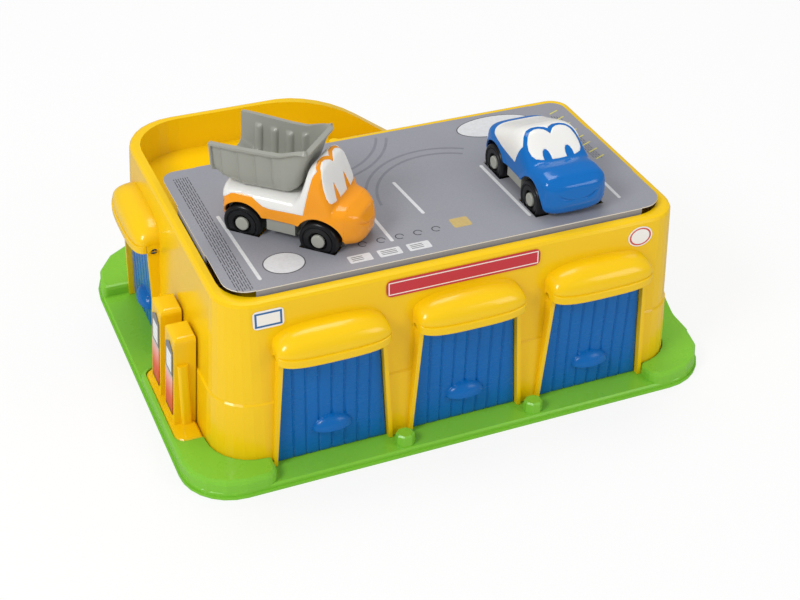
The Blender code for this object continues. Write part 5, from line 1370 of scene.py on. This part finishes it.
@dataclass
class Studio:
    """A pale floor, soft lamps and the camera of the photograph."""

    camera_place: tuple[float, float, float] = (-386.6, -906.0, 707.6)
    azimuth: float = -23.61
    elevation: float = 35.04
    roll: float = 1.48
    lens: float = 66.86
    shift: tuple[float, float] = (0.0037, -0.0009)
    floor_half: float = 6.0
    paper: tuple[float, float] = (0.86, 0.4)
    paper_glow: float = 0.8
    sky: tuple[float, float] = (0.56, 0.22)
    lamps: tuple[tuple[str, tuple[float, float, float], float, float], ...] = (
        ("key_lamp", (-1.6, -0.7, 1.6), 0.7, 22.0),
        ("fill_lamp", (1.3, -1.5, 1.1), 0.9, 7.0),
        ("top_lamp", (0.2, 0.7, 2.0), 1.0, 12.0))

    def camera(self) -> None:
        """Set up the camera from its measured place and angles."""
        a, e, r = (math.radians(v) for v in (self.azimuth, self.elevation, self.roll))
        back = Vector((math.sin(a) * math.cos(e), -math.cos(a) * math.cos(e), math.sin(e)))
        right = Vector((math.cos(a), math.sin(a), 0.0))
        up = back.cross(right)
        turn = Matrix((right * math.cos(r) + up * math.sin(r),
                       up * math.cos(r) - right * math.sin(r), back)).transposed()
        data = bpy.data.cameras.new("camera")
        data.lens = self.lens
        data.shift_x, data.shift_y = self.shift
        data.clip_end = 20.0
        camera = bpy.data.objects.new("camera", data)
        camera.matrix_world = Matrix.Translation(Vector(self.camera_place) * MM) @ turn.to_4x4()
        bpy.context.scene.collection.objects.link(camera)
        bpy.context.scene.camera = camera

    def by_ray(self, tree: bpy.types.NodeTree, kind: str, other: object,
               kept: float) -> bpy.types.NodeSocket:
        """Return a socket that is one value for rays of a kind and another for the rest.

        Args:
            tree: the node tree.
            kind: output of the Light Path node.
            other: number or socket for the rest of the rays.
            kept: number for rays of the kind.

        Returns:
            The socket.
        """
        pick = tree.nodes.new("ShaderNodeMapRange")
        pick.inputs["To Max"].default_value = kept
        if isinstance(other, bpy.types.NodeSocket):
            tree.links.new(other, pick.inputs["To Min"])
        else:
            pick.inputs["To Min"].default_value = other
        path = tree.nodes.new("ShaderNodeLightPath").outputs[kind]
        tree.links.new(path, pick.inputs["Value"])
        return pick.outputs["Result"]

    def floor(self) -> None:
        """Lay a white floor that keeps a light shadow."""
        half = self.floor_half
        corners = [(-half, -half, 0), (half, -half, 0), (half, half, 0), (-half, half, 0)]
        mesh = bpy.data.meshes.new("floor")
        mesh.from_pydata(corners, [], [(0, 1, 2, 3)])
        floor = bpy.data.objects.new("floor", mesh)
        bpy.context.scene.collection.objects.link(floor)
        material = bpy.data.materials.new("floor_paper")
        material.use_nodes = True
        tree = material.node_tree
        shader = tree.nodes["Principled BSDF"]
        tree.links.new(self.by_ray(tree, "Is Glossy Ray", *self.paper), shader.inputs["Base Color"])
        shader.inputs["Roughness"].default_value = 0.9
        shader.inputs["Specular IOR Level"].default_value = 0.0
        glow = tree.nodes.new("ShaderNodeEmission")
        mix = tree.nodes.new("ShaderNodeMixShader")
        share = self.by_ray(tree, "Is Camera Ray", 0.0, self.paper_glow)
        tree.links.new(share, mix.inputs[0])
        tree.links.new(shader.outputs[0], mix.inputs[1])
        tree.links.new(glow.outputs[0], mix.inputs[2])
        tree.links.new(mix.outputs[0], tree.nodes["Material Output"].inputs["Surface"])
        mesh.materials.append(material)

    def world(self) -> None:
        """Surround the scene with white, dimmer as light than as backdrop."""
        world = bpy.data.worlds.new("studio")
        world.use_nodes = True
        tree = world.node_tree
        background = tree.nodes["Background"]
        background.inputs["Color"].default_value = (1.0, 1.0, 1.0, 1.0)
        around = self.by_ray(tree, "Is Glossy Ray", *self.sky)
        tree.links.new(self.by_ray(tree, "Is Camera Ray", around, 1.0),
                       background.inputs["Strength"])
        bpy.context.scene.world = world

    def lamp(self, name: str, place: tuple[float, float, float], size: float,
             power: float) -> None:
        """Add a square area lamp that looks at the toy; place and size are in metres."""
        data = bpy.data.lights.new(name, "AREA")
        data.size = size
        data.energy = power
        lamp = bpy.data.objects.new(name, data)
        aim = Vector((0.0, 0.0, 0.08)) - Vector(place)
        lamp.rotation_euler = aim.to_track_quat("-Z", "Y").to_euler()
        lamp.location = place
        bpy.context.scene.collection.objects.link(lamp)

    def build(self) -> None:
        """Set the stage."""
        self.camera()
        self.floor()
        self.world()
        for name, place, size, power in self.lamps:
            self.lamp(name, place, size, power)
        bpy.context.scene.view_settings.view_transform = "Standard"


def main() -> None:
    """Build the scene."""
    logging.basicConfig(level=logging.INFO, format="%(name)s: %(message)s")
    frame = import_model()
    Studio().build()
    Garage().build(frame["nodes"])
    truck = make_truck()
    truck.build()
    TipperBed(truck.place).build()
    make_car().build()


if __name__ == "__main__":
    main()
